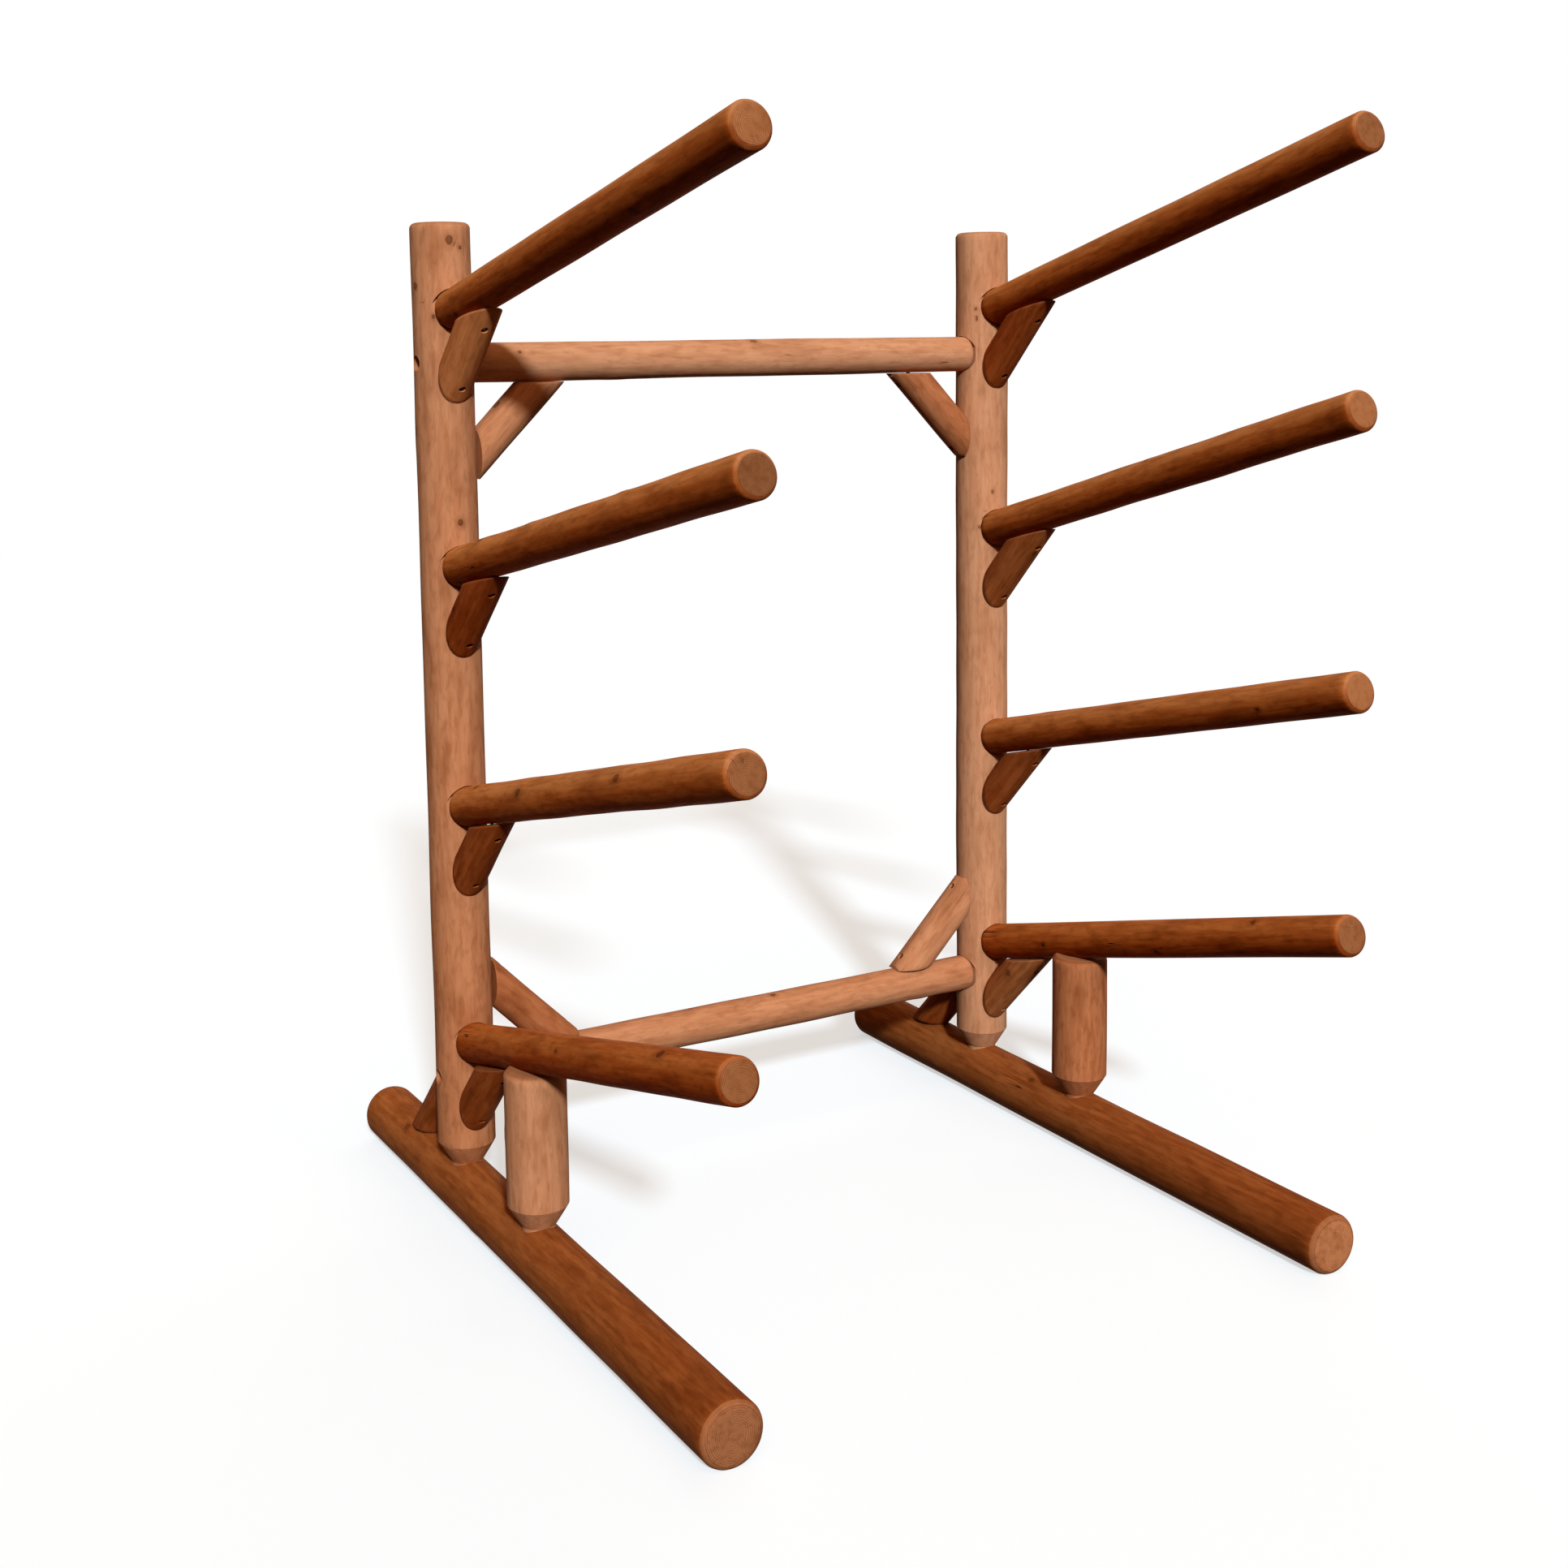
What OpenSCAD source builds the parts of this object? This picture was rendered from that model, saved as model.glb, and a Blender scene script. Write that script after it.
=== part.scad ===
// Free-standing log rack for kayaks and boards.
// Two posts stand on two front-to-back base logs and are tied by two rails. Each post carries
// four arms that rise to the front, every arm on its own brace. All logs are peeled and turned round.
// X runs across the rack, the arms point to -Y, Z is up and the ground is z = 0.

/* [Frame] */
// Distance between the two posts, axis to axis
post_spacing = 1220; // [900:10:1800]
// Height of the post tops above the ground
rack_height = 1880; // [1866:2:2100]
// Diameter of the two posts
post_d = 111.5; // [105:0.5:125]
// Height of the bottom rail's axis above the ground
bottom_rail_z = 277; // [255:1:284]
// How far below the post tops the top rail's axis lies
top_rail_drop = 254; // [240:1:300]
// Diameter of the two rails
rail_d = 75; // [64:0.5:80]

/* [Base] */
// Diameter of the two base logs
base_d = 112; // [100:0.5:125]
// Length of a base log in front of the post's axis
base_front = 1038; // [700:2:1060]
// Length of a base log behind the post's axis
base_rear = 442; // [340:2:600]
// Depth planed off the underside of a base log
base_flat = 4; // [2:0.5:8]
// Diameter of the short posts under the lowest arms
short_post_d = 113; // [90:0.5:125]
// Distance of a short post in front of its post, axis to axis
short_post_offset = 336; // [310:2:500]
// How deep the lowest arm lies in the saddle of its short post
saddle_depth = 7; // [5:0.5:24]

/* [Arms] */
// Diameter of the arms
arm_d = 75; // [64:0.5:80]
// Length of an arm from the post's axis to its free end
arm_length = 1101; // [700:2:1200]
// Rise of the arms to the front, in degrees
arm_tilt = 14; // [8:0.5:18]
// Height of the lowest arms at the post's axis
lowest_arm_z = 338; // [334:1:356]
// Height from the lowest arm to the second
first_bay = 455; // [380:1:480]
// Height from the second arm to the third
second_bay = 450; // [380:1:480]
// How far below the post tops the axes of the top arms lie; the third bay takes what is left
top_arm_drop = 169; // [157:1:182]
// How far the left arms lean off that rise, lowest arm first, in degrees
left_lean = [0, -0.5, -2, -1.5]; // [-3:0.5:3]
// How far the right arms lean off that rise, lowest arm first, in degrees
right_lean = [1, -0.5, 1, 0.5]; // [-3:0.5:3]
// How far the left arms turn inwards, lowest arm first, in degrees
left_toe = [0, 1, 2, 2]; // [-3:0.5:3]
// How far the right arms turn inwards, lowest arm first, in degrees
right_toe = [0, 0, 0, 0]; // [-3:0.5:3]

/* [Braces] */
// Diameter of all the braces
brace_d = 73; // [56:0.5:80]
// How far below an arm's axis its brace's axis meets the post
arm_brace_drop = 107; // [95:1:125]
// Distance from a corner to where a frame brace's axis meets each log
frame_brace_leg = 135; // [110:1:170]
// Length cut off the sharp tips of the frame and rear braces
frame_nose = 9; // [3:0.5:12]
// Length cut off the sharp tips of the arm braces
arm_nose = 3; // [1:0.5:8]

/* [Joints] */
// Diameter of the tenons of the arms and rails
tenon_d = 50; // [40:0.5:54]
// How far a tenon runs past the post's axis
tenon_past_axis = 15; // [8:1:20]
// How deep the shoulder of an arm or rail is let into the post
housing = 14; // [12:0.5:18]
// Rounding of that shoulder
shoulder_round = 11; // [4:0.5:11]
// Room round the shoulder in its pocket
pocket_room = 2.5; // [2:0.5:5]
// How far the pocket is bored below the log's axis, so that it closes on top and drains below
pocket_drop = 2; // [0:0.5:2]
// Diameter of the tenons under the posts
foot_tenon_d = 60; // [40:1:66]
// Depth of the bore in a base log whose floor carries such a tenon
foot_bore = 48; // [30:1:52]
// Width of the square shoulder above such a tenon
foot_shoulder = 2; // [1:0.5:5]
// Height of the cone above that shoulder, up to the full width of the post
foot_taper = 38; // [20:1:50]

/* [Log ends] */
// Rounding of the post tops
post_top_round = 9; // [3:0.5:16]
// Rounding of the free ends of the arms
arm_end_round = 8; // [2:0.5:10]
// Rounding of the ends of the base logs
base_end_round = 12; // [2:0.5:14]
// Rounding of the top of a short post
short_top_round = 9; // [3:0.5:14]

/* [Fasteners] */
// Shank diameter of the lag screws
lag_d = 10; // [8:0.5:12]
// Length of the lag screws under the head
lag_length = 100; // [80:1:110]
// Width across the flats of a lag screw's head
lag_head_w = 17; // [14:0.5:19]
// Height of a lag screw's head
lag_head_h = 7; // [5:0.5:8]
// Outer diameter of the washers
washer_d = 28; // [24:0.5:30]
// Thickness of the washers
washer_t = 2.5; // [1.5:0.1:3]
// Depth of the recess that takes a lag screw's head
lag_recess = 22; // [12:0.5:24]
// Room round a washer in that recess
recess_room = 1; // [0.5:0.5:3]
// Shank diameter of the brace screws
screw_d = 6; // [4:0.5:8]
// Head diameter of the brace screws
screw_head_d = 11.5; // [10:0.5:12.5]
// Height of a brace screw's head
screw_head_h = 5; // [3:0.5:6]
// Diameter of the drilled pockets in the braces
screw_pocket_d = 14; // [13:0.5:16]
// Depth of those pockets
screw_pocket = 12; // [8:0.5:16]
// How far a brace screw bites past the brace's axis
screw_bite = 30; // [20:1:31]

/* [Hidden] */

$fn = 72;
LEFT = -1;
RIGHT = 1;
// Gap left between faces that bear on each other
seat_gap = 0.2;
// Radial play of a tenon or a screw in its bore
bore_gap = 0.15;
// Air past the end of a tenon or a screw
end_gap = 2;
// Overlap of the pieces of one solid
overlap = 1;
// Share of the shank's diameter that is left at the point of a screw
point_share = 0.2;

post_r = post_d / 2;
base_r = base_d / 2;
rail_r = rail_d / 2;
arm_r = arm_d / 2;
brace_r = brace_d / 2;
short_r = short_post_d / 2;
post_x = post_spacing / 2;
// Overrun of a cutting tool past the surface it leaves
overrun = post_r;
// Side of the blocks that square off a brace's ends
block = 8 * post_d;
base_axis_z = base_r - base_flat;
base_top_z = base_axis_z + base_r;
foot_z = base_top_z + seat_gap;
foot_floor_z = base_top_z - foot_bore;
foot_tenon_r = foot_tenon_d / 2;
top_rail_z = rack_height - top_rail_drop;
arm_heights = [lowest_arm_z, lowest_arm_z + first_bay, lowest_arm_z + first_bay + second_bay,
               rack_height - top_arm_drop];
frame_brace_drop = rail_r + frame_brace_leg;
rear_brace_drop = base_r + frame_brace_leg;

// Rise and inward turn of one arm, in degrees
function tilt(side, i) = arm_tilt + (side == LEFT ? left_lean : right_lean)[i];
function toe(side, i) = (side == LEFT ? left_toe : right_toe)[i];

// The rounding of a log's end is an arc whose centre lies this many times the rounding in from both faces
arc_inset = 1.25;
function arc_r(ease) = ease * sqrt(pow(arc_inset, 2) + pow(arc_inset - 1, 2));
// Smallest angle between the log's axis and that arc's own radius
arc_start = atan((arc_inset - 1) / arc_inset);

// Reach of an arm's rounded end to the front, to the point of its arc that lies farthest out
function reach(side, i) =
  let (c = cos(tilt(side, i)) * cos(toe(side, i)), off = acos(c), centre = arc_inset * arm_end_round)
  (arm_length - centre) * c + (arm_r - centre) * sin(off)
  + arc_r(arm_end_round) * cos(max(off, arc_start) - off);
front_reach = max(concat([for (i = [0:3]) reach(LEFT, i)], [for (i = [0:3]) reach(RIGHT, i)], [base_front]));
// The origin is under the middle of the rack's box, so the posts stand behind it
post_y = (front_reach - base_rear) / 2;

// Compass headings of what leaves a post, with local +X pointing away from it
function forward(side, i) = -90 - side * toe(side, i);
function inward(side) = side == LEFT ? 0 : 180;
BACKWARD = 90;

// Distance from the post's axis to the shoulder of a log that leaves it at a slope
function shoulder_at(slope) = post_r / cos(slope) - housing;
// Where the axis of a brace meets the log above it, out from the post's axis
function brace_end_x(drop, slope, beam_r) = (drop + post_r - beam_r / cos(slope)) / (1 - tan(slope));
// Length of a brace's axis from the post to that log
function brace_run(drop, slope, beam_r) = (brace_end_x(drop, slope, beam_r) - post_r) * sqrt(2);
// The same place for the sharp outer edge of the brace, measured along the log above
function brace_tip(drop, slope, beam_r) =
  (brace_end_x(drop + brace_r * sqrt(2), slope, beam_r)) / cos(slope) - beam_r * tan(slope);

// Moves what is drawn along +X to a post, at a height and on a heading
module from_post(side, heading, z) {
  translate([side * post_x, post_y, z]) rotate([0, 0, heading]) children();
}

// Lays what is drawn along +Z on the axis of one arm
module along_arm(side, i) {
  from_post(side, forward(side, i), arm_heights[i]) rotate([0, 90 - tilt(side, i), 0]) children();
}

// Lays what is drawn along +Z on the axis of a rail, from one post inwards
module along_rail(side, z) {
  from_post(side, inward(side), z) rotate([0, 90, 0]) children();
}

// A round log along +Z with both ends eased over, turned so that no hole crosses its seam
module log(r, z0, z1, ease0, ease1) {
  rotate([0, 0, 45]) rotate_extrude() difference() {
    translate([0, z0]) square([r, z1 - z0]);
    translate([r, z0]) mirror([0, 1]) eased_corner(ease0);
    translate([r, z1]) eased_corner(ease1);
  }
}

// An upright post: the foot is a cone down to a narrow shoulder, and below it is the tenon
module upright(r, z1, ease1) {
  lean = [r - foot_tenon_r - foot_shoulder, foot_taper];
  low = [r, foot_z] - [lean[0], 0] - 0.1 * lean;
  high = [r, foot_z + foot_taper] + 0.1 * lean;
  rotate([0, 0, 45]) rotate_extrude() difference() {
    translate([0, foot_z]) square([r, z1 - foot_z]);
    translate([r, z1]) eased_corner(ease1);
    polygon([low, [high[0], low[1]], high]);
  }
  translate([0, 0, foot_floor_z + seat_gap])
    cylinder(r = foot_tenon_r, h = foot_z - foot_floor_z - seat_gap + overlap);
}

// What a spokeshave takes off a square corner at 0,0: the arc meets both faces at a slight angle
module eased_corner(ease) {
  centre = arc_inset * ease;
  if (ease > 0) difference() {
    translate([-1.2 * ease, -1.2 * ease]) square(3 * ease);
    translate([-centre, -centre]) circle(arc_r(ease));
  }
}

// The pocket, bore and screw hole that a post needs for a tenoned log along +Z
module socket(log_r, slope) {
  seat = shoulder_at(slope);
  translate([pocket_drop, 0, seat]) cylinder(r = log_r + pocket_room, h = overrun);
  translate([0, 0, -tenon_past_axis - end_gap])
    cylinder(d = tenon_d + 2 * bore_gap, h = seat + tenon_past_axis + end_gap + overlap);
  lag_hole(slope);
}

// Plain tenon that starts past the post's axis and ends at the shoulder
module tenon(slope) {
  translate([0, 0, -tenon_past_axis])
    cylinder(d = tenon_d, h = shoulder_at(slope) + tenon_past_axis + seat_gap + overlap);
}

// Start of a lag screw that comes through a post from behind, along +Z
function lag_start(slope) = -(post_r / cos(slope) - lag_recess);

module lag_hole(slope) {
  translate([0, 0, lag_start(slope)]) cylinder(d = lag_d + 2 * bore_gap, h = lag_length + end_gap);
  translate([0, 0, lag_start(slope) - overrun]) cylinder(d = washer_d + 2 * recess_room, h = overrun);
}

// Lag screw with its head below z = 0 and its shank along +Z, with a cone point
module lag_screw() {
  translate([0, 0, -washer_t - 2 * seat_gap - lag_head_h])
    cylinder(d = lag_head_w / cos(30), h = lag_head_h, $fn = 6);
  translate([0, 0, -washer_t - 2 * seat_gap - overlap])
    cylinder(d = lag_d, h = lag_length - lag_d + washer_t + 2 * seat_gap + overlap);
  translate([0, 0, lag_length - lag_d]) cylinder(d1 = lag_d, d2 = point_share * lag_d, h = lag_d);
}

module washer() {
  translate([0, 0, -washer_t - seat_gap]) difference() {
    cylinder(d = washer_d, h = washer_t);
    translate([0, 0, -overlap]) cylinder(d = lag_d + 2 * bore_gap, h = washer_t + 2 * overlap);
  }
}

// Frame of a brace: local +Z is its axis, up and away from the post, and +X is its outer side
module brace_frame(drop) {
  translate([post_r, 0, -drop]) rotate([0, 45, 0]) children();
}

// Both screws of a brace: each is square to the brace and goes through the middle of a mitre
module at_brace_screws(drop, slope, beam_r) {
  for (s = [0, brace_run(drop, slope, beam_r)])
    brace_frame(drop) translate([brace_r - screw_pocket, 0, s]) rotate([0, -90, 0]) children();
}

// The hole for its shank starts a little inside the drilled pocket
module brace_screw_hole() {
  translate([0, 0, -overlap])
    cylinder(d = screw_d + 2 * bore_gap, h = brace_r - screw_pocket + screw_bite + end_gap + overlap);
}

// Countersunk screw: a flat head, then a shank with a cone point
module brace_screw() {
  reach = brace_r - screw_pocket + screw_bite;
  translate([0, 0, -screw_head_h - seat_gap]) cylinder(d = screw_head_d, h = screw_head_h);
  translate([0, 0, -overlap - seat_gap]) cylinder(d = screw_d, h = reach - screw_d + overlap);
  translate([0, 0, reach - screw_d - seat_gap])
    cylinder(d1 = screw_d, d2 = point_share * screw_d, h = screw_d);
}

// A brace below a log that leaves the post, mitred flat against both, with blunt tips and screw pockets
module brace(drop, slope, beam_r, nose) {
  low = -drop - brace_r * sqrt(2) + nose;
  far = brace_tip(drop, slope, beam_r) - nose;
  difference() {
    brace_frame(drop) translate([0, 0, -block / 4]) rotate([0, 0, 45]) cylinder(r = brace_r, h = block);
    translate([post_r + seat_gap - block, -block / 2, -block / 2]) cube(block);
    translate([0, -block / 2, low - block]) cube(block);
    rotate([0, -slope, 0]) translate([-block / 2, -block / 2, -beam_r - seat_gap]) cube(block);
    rotate([0, -slope, 0]) translate([far, -block / 2, -block / 2]) cube(block);
    at_brace_screws(drop, slope, beam_r) {
      union() {
        brace_screw_hole();
        translate([0, 0, -overrun]) cylinder(d = screw_pocket_d, h = overrun);
      }
    }
  }
}

// Places of the three kinds of brace
module at_arm_brace(side, i) {
  from_post(side, forward(side, i), arm_heights[i]) children();
}
module at_top_corner(side) {
  from_post(side, inward(side), top_rail_z) children();
}
module at_bottom_corner(side) {
  from_post(side, inward(side), bottom_rail_z) mirror([0, 0, 1]) children();
}
module at_rear_brace(side) {
  from_post(side, BACKWARD, base_axis_z) mirror([0, 0, 1]) children();
}

// All the screw holes of the braces that meet at one side of the rack
module side_screw_holes(side) {
  for (i = [0:3])
    at_arm_brace(side, i) at_brace_screws(arm_brace_drop, tilt(side, i), arm_r) brace_screw_hole();
  at_top_corner(side) at_brace_screws(frame_brace_drop, 0, rail_r) brace_screw_hole();
  at_bottom_corner(side) at_brace_screws(frame_brace_drop, 0, rail_r) brace_screw_hole();
  at_rear_brace(side) at_brace_screws(rear_brace_drop, 0, base_r) brace_screw_hole();
}

// Lag screw up through a base log into the foot above it
module at_foot_lag(side, offset) {
  translate([side * post_x, post_y - offset, lag_recess]) children();
}

module foot_lag_hole() {
  cylinder(d = lag_d + 2 * bore_gap, h = lag_length + end_gap);
  translate([0, 0, -overrun]) cylinder(d = washer_d + 2 * recess_room, h = overrun);
}

// The bore that the tenon of a foot stands in
module foot_socket() {
  translate([0, 0, foot_floor_z]) cylinder(d = foot_tenon_d + 2 * bore_gap, h = foot_bore + overlap);
}

module post(side) {
  color("#BE7D55") difference() {
    translate([side * post_x, post_y, 0]) upright(post_r, rack_height, post_top_round);
    for (i = [0:3]) along_arm(side, i) socket(arm_r, tilt(side, i));
    along_rail(side, top_rail_z) socket(rail_r, 0);
    along_rail(side, bottom_rail_z) socket(rail_r, 0);
    side_screw_holes(side);
    at_foot_lag(side, 0) foot_lag_hole();
  }
}

module base_log(side) {
  color("#A66C45") difference() {
    translate([side * post_x, post_y, base_axis_z]) rotate([90, 0, 0])
      log(base_r, -base_rear, base_front, base_end_round, base_end_round);
    translate([side * post_x - base_d, post_y - base_front - overrun, -base_d])
      cube([2 * base_d, base_front + base_rear + 2 * overrun, base_d]);
    translate([side * post_x, post_y, 0]) foot_socket();
    translate([side * post_x, post_y - short_post_offset, 0]) foot_socket();
    at_foot_lag(side, 0) foot_lag_hole();
    at_foot_lag(side, short_post_offset) foot_lag_hole();
    at_rear_brace(side) at_brace_screws(rear_brace_drop, 0, base_r) brace_screw_hole();
  }
}

// The short post ends just above the underside of the lowest arm, which lies in its saddle
module short_post(side) {
  slope = tilt(side, 0);
  top = lowest_arm_z + short_post_offset * tan(slope) - arm_r / cos(slope) + saddle_depth;
  color("#BE7D55") difference() {
    translate([side * post_x, post_y - short_post_offset, 0]) upright(short_r, top, short_top_round);
    along_arm(side, 0) cylinder(r = arm_r + seat_gap, h = arm_length);
    at_foot_lag(side, short_post_offset) foot_lag_hole();
  }
}

module arm(side, i) {
  slope = tilt(side, i);
  color("#9A5F3A") difference() {
    along_arm(side, i) union() {
      log(arm_r, shoulder_at(slope) + seat_gap, arm_length, shoulder_round, arm_end_round);
      tenon(slope);
    }
    along_arm(side, i) lag_hole(slope);
    at_arm_brace(side, i) at_brace_screws(arm_brace_drop, slope, arm_r) brace_screw_hole();
  }
}

module rail(z, brace_side) {
  seat = shoulder_at(0) + seat_gap;
  color("#C08058") difference() {
    along_rail(LEFT, z) union() {
      log(rail_r, seat, post_spacing - seat, shoulder_round, shoulder_round);
      tenon(0);
      translate([0, 0, post_spacing]) mirror([0, 0, 1]) tenon(0);
    }
    for (side = [LEFT, RIGHT]) {
      along_rail(side, z) lag_hole(0);
      from_post(side, inward(side), z) mirror([0, 0, brace_side])
        at_brace_screws(frame_brace_drop, 0, rail_r) brace_screw_hole();
    }
  }
}

module top_rail() {
  rail(top_rail_z, 0);
}
module bottom_rail() {
  rail(bottom_rail_z, 1);
}

module arm_brace(side, i) {
  color("#8F5634") at_arm_brace(side, i) brace(arm_brace_drop, tilt(side, i), arm_r, arm_nose);
}
module top_corner_brace(side) {
  color("#B0734C") at_top_corner(side) brace(frame_brace_drop, 0, rail_r, frame_nose);
}
module bottom_corner_brace(side) {
  color("#B0734C") at_bottom_corner(side) brace(frame_brace_drop, 0, rail_r, frame_nose);
}
module rear_brace(side) {
  color("#8F5634") at_rear_brace(side) brace(rear_brace_drop, 0, base_r, frame_nose);
}

// One fastener behind each arm, at both ends of each rail and under each foot
module each_arm_lag() {
  for (side = [LEFT, RIGHT], i = [0:3])
    along_arm(side, i) translate([0, 0, lag_start(tilt(side, i))]) children();
}
module each_rail_lag() {
  for (side = [LEFT, RIGHT], z = [top_rail_z, bottom_rail_z])
    along_rail(side, z) translate([0, 0, lag_start(0)]) children();
}
module each_foot_lag() {
  for (side = [LEFT, RIGHT], offset = [0, short_post_offset]) at_foot_lag(side, offset) children();
}

module arm_lag_screws() {
  color("#8C8F94") each_arm_lag() lag_screw();
}
module arm_lag_washers() {
  color("#A3A6AA") each_arm_lag() washer();
}
module rail_lag_screws() {
  color("#8C8F94") each_rail_lag() lag_screw();
}
module rail_lag_washers() {
  color("#A3A6AA") each_rail_lag() washer();
}
module foot_lag_screws() {
  color("#8C8F94") each_foot_lag() lag_screw();
}
module foot_lag_washers() {
  color("#A3A6AA") each_foot_lag() washer();
}

module arm_brace_screws() {
  color("#5B5148") for (side = [LEFT, RIGHT], i = [0:3])
    at_arm_brace(side, i) at_brace_screws(arm_brace_drop, tilt(side, i), arm_r) brace_screw();
}
module corner_brace_screws() {
  color("#5B5148") for (side = [LEFT, RIGHT]) {
    at_top_corner(side) at_brace_screws(frame_brace_drop, 0, rail_r) brace_screw();
    at_bottom_corner(side) at_brace_screws(frame_brace_drop, 0, rail_r) brace_screw();
  }
}
module rear_brace_screws() {
  color("#5B5148") for (side = [LEFT, RIGHT])
    at_rear_brace(side) at_brace_screws(rear_brace_drop, 0, base_r) brace_screw();
}

post(LEFT);  // post_left
post(RIGHT);  // post_right
base_log(LEFT);  // base_log_left
base_log(RIGHT);  // base_log_right
short_post(LEFT);  // short_post_left
short_post(RIGHT);  // short_post_right
top_rail();
bottom_rail();
arm(LEFT, 0);  // arm_left_1
arm(LEFT, 1);  // arm_left_2
arm(LEFT, 2);  // arm_left_3
arm(LEFT, 3);  // arm_left_4
arm(RIGHT, 0);  // arm_right_1
arm(RIGHT, 1);  // arm_right_2
arm(RIGHT, 2);  // arm_right_3
arm(RIGHT, 3);  // arm_right_4
arm_brace(LEFT, 0);  // arm_brace_left_1
arm_brace(LEFT, 1);  // arm_brace_left_2
arm_brace(LEFT, 2);  // arm_brace_left_3
arm_brace(LEFT, 3);  // arm_brace_left_4
arm_brace(RIGHT, 0);  // arm_brace_right_1
arm_brace(RIGHT, 1);  // arm_brace_right_2
arm_brace(RIGHT, 2);  // arm_brace_right_3
arm_brace(RIGHT, 3);  // arm_brace_right_4
top_corner_brace(LEFT);  // corner_brace_top_left
top_corner_brace(RIGHT);  // corner_brace_top_right
bottom_corner_brace(LEFT);  // corner_brace_bottom_left
bottom_corner_brace(RIGHT);  // corner_brace_bottom_right
rear_brace(LEFT);  // rear_brace_left
rear_brace(RIGHT);  // rear_brace_right
arm_lag_screws();
arm_lag_washers();
rail_lag_screws();
rail_lag_washers();
foot_lag_screws();
foot_lag_washers();
arm_brace_screws();
corner_brace_screws();
rear_brace_screws();
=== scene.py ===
"""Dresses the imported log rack: peeled, stained cedar logs with their joinery, plated fasteners, and
a pale studio.

Every log is one surface worked out with numpy in the log's own axes (x and y across the log, z
along it), then moved to its place in the rack. The left arms stand at -X, the arms point to -Y and
Z is up.
"""
import math

import bmesh
import bpy
import numpy as np
from bpy.props import (FloatProperty, FloatVectorProperty, IntProperty, PointerProperty,
                       StringProperty)
from bpy.types import Operator, Panel, PropertyGroup
from mathutils import Matrix, Vector


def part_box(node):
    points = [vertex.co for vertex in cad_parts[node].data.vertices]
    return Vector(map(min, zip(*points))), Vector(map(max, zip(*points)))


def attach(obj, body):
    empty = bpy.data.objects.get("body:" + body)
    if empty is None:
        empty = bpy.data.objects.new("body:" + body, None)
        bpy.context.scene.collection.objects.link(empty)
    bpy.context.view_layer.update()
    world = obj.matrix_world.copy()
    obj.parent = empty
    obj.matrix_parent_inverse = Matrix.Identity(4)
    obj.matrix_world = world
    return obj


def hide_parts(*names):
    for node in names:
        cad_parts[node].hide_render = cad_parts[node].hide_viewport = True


bl_info = {
    "name": "Log rack",
    "version": (1, 0, 0),
    "blender": (4, 5, 0),
    "location": "View3D > Sidebar > Rack",
    "description": "Builds the logs, fasteners and studio of a log rack on its packed frame",
    "category": "Add Mesh",
}

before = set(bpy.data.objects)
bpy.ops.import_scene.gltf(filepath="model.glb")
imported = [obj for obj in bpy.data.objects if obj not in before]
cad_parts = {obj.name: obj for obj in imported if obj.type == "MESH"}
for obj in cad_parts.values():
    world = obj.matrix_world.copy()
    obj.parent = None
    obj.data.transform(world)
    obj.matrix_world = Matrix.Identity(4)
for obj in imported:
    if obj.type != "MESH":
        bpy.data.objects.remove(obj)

MM = 0.001
LEFT, RIGHT = -1, 1
SIDE_NAMES = {LEFT: "left", RIGHT: "right"}
ARMS_PER_SIDE = 4
UP = Vector((0.0, 0.0, 1.0))
BACK = Vector((0.0, 1.0, 0.0))

# Points round a thick log, a thin log and each kind of hole
THICK_LOG, THIN_LOG = 80, 64
SCREW_HOLE, FOOT_BORE, ARM_POCKET, SADDLE = 40, 64, 72, 96

# Distance between the rows of points along a log, a short post and a brace, the number of rows on a
# foot's cone, and how many eases in from both faces the middle of an eased corner lies
ROW, SHORT_ROW, BRACE_ROW = 10 * MM, 8 * MM, 7 * MM
CONE_ROWS = 6
EASE_CENTRE = 1.25

# Cutters: how far a bore runs past its tenon and into the pocket, and where along the lowest arm
# its saddle lies
BORE_PAST_TENON, BORE_IN_POCKET = 2 * MM, 1 * MM
SADDLE_SPAN = (0.1, 0.8)
# How far past its axis's ends a brace may have knots
BRACE_KNOTS_PAST = 20 * MM

# A piece with fewer faces was lost in its cuts, and one that drifts further no longer fits
FEWEST_FACES = 12
MOST_DRIFT = 4 * MM

# Grain: how far the pith wanders from the middle, how many heights of the pattern there are, how
# far apart they lie in metres, and the step from a log's seed to its grain's seed
PITH_WANDER = 6 * MM
PATTERN_HEIGHTS, PATTERN_STEP = 97, 2.37
GRAIN_SEED = 1000

# Stain: an end face reaches END_DEPTH deep, a tone of 1 / e takes 1 / STAIN_DEPTH more layers of
# stain, painted shade on a log's underside starts where the cosine of the angle from the underside
# passes minus the third value below, and a face counts as sawn square from a tilt with a cosine of
# SQUARE_FROM up to twice that
END_DEPTH = 0.5 * MM
STAIN_DEPTH = 0.7
UNDERSIDE_SHADE_START = 0.6
SQUARE_FROM = 0.45
SHARP_ANGLE = math.radians(28)

# Each kind of log's first seed after the seed in the settings, and the right side's step from that
SEEDS = {"post": (1, 1), "base_log": (3, 1), "short_post": (5, 1), "rail": (7, 0),
         "arm": (20, 10), "arm_brace": (40, 10), "frame_brace": (60, 5)}
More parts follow.
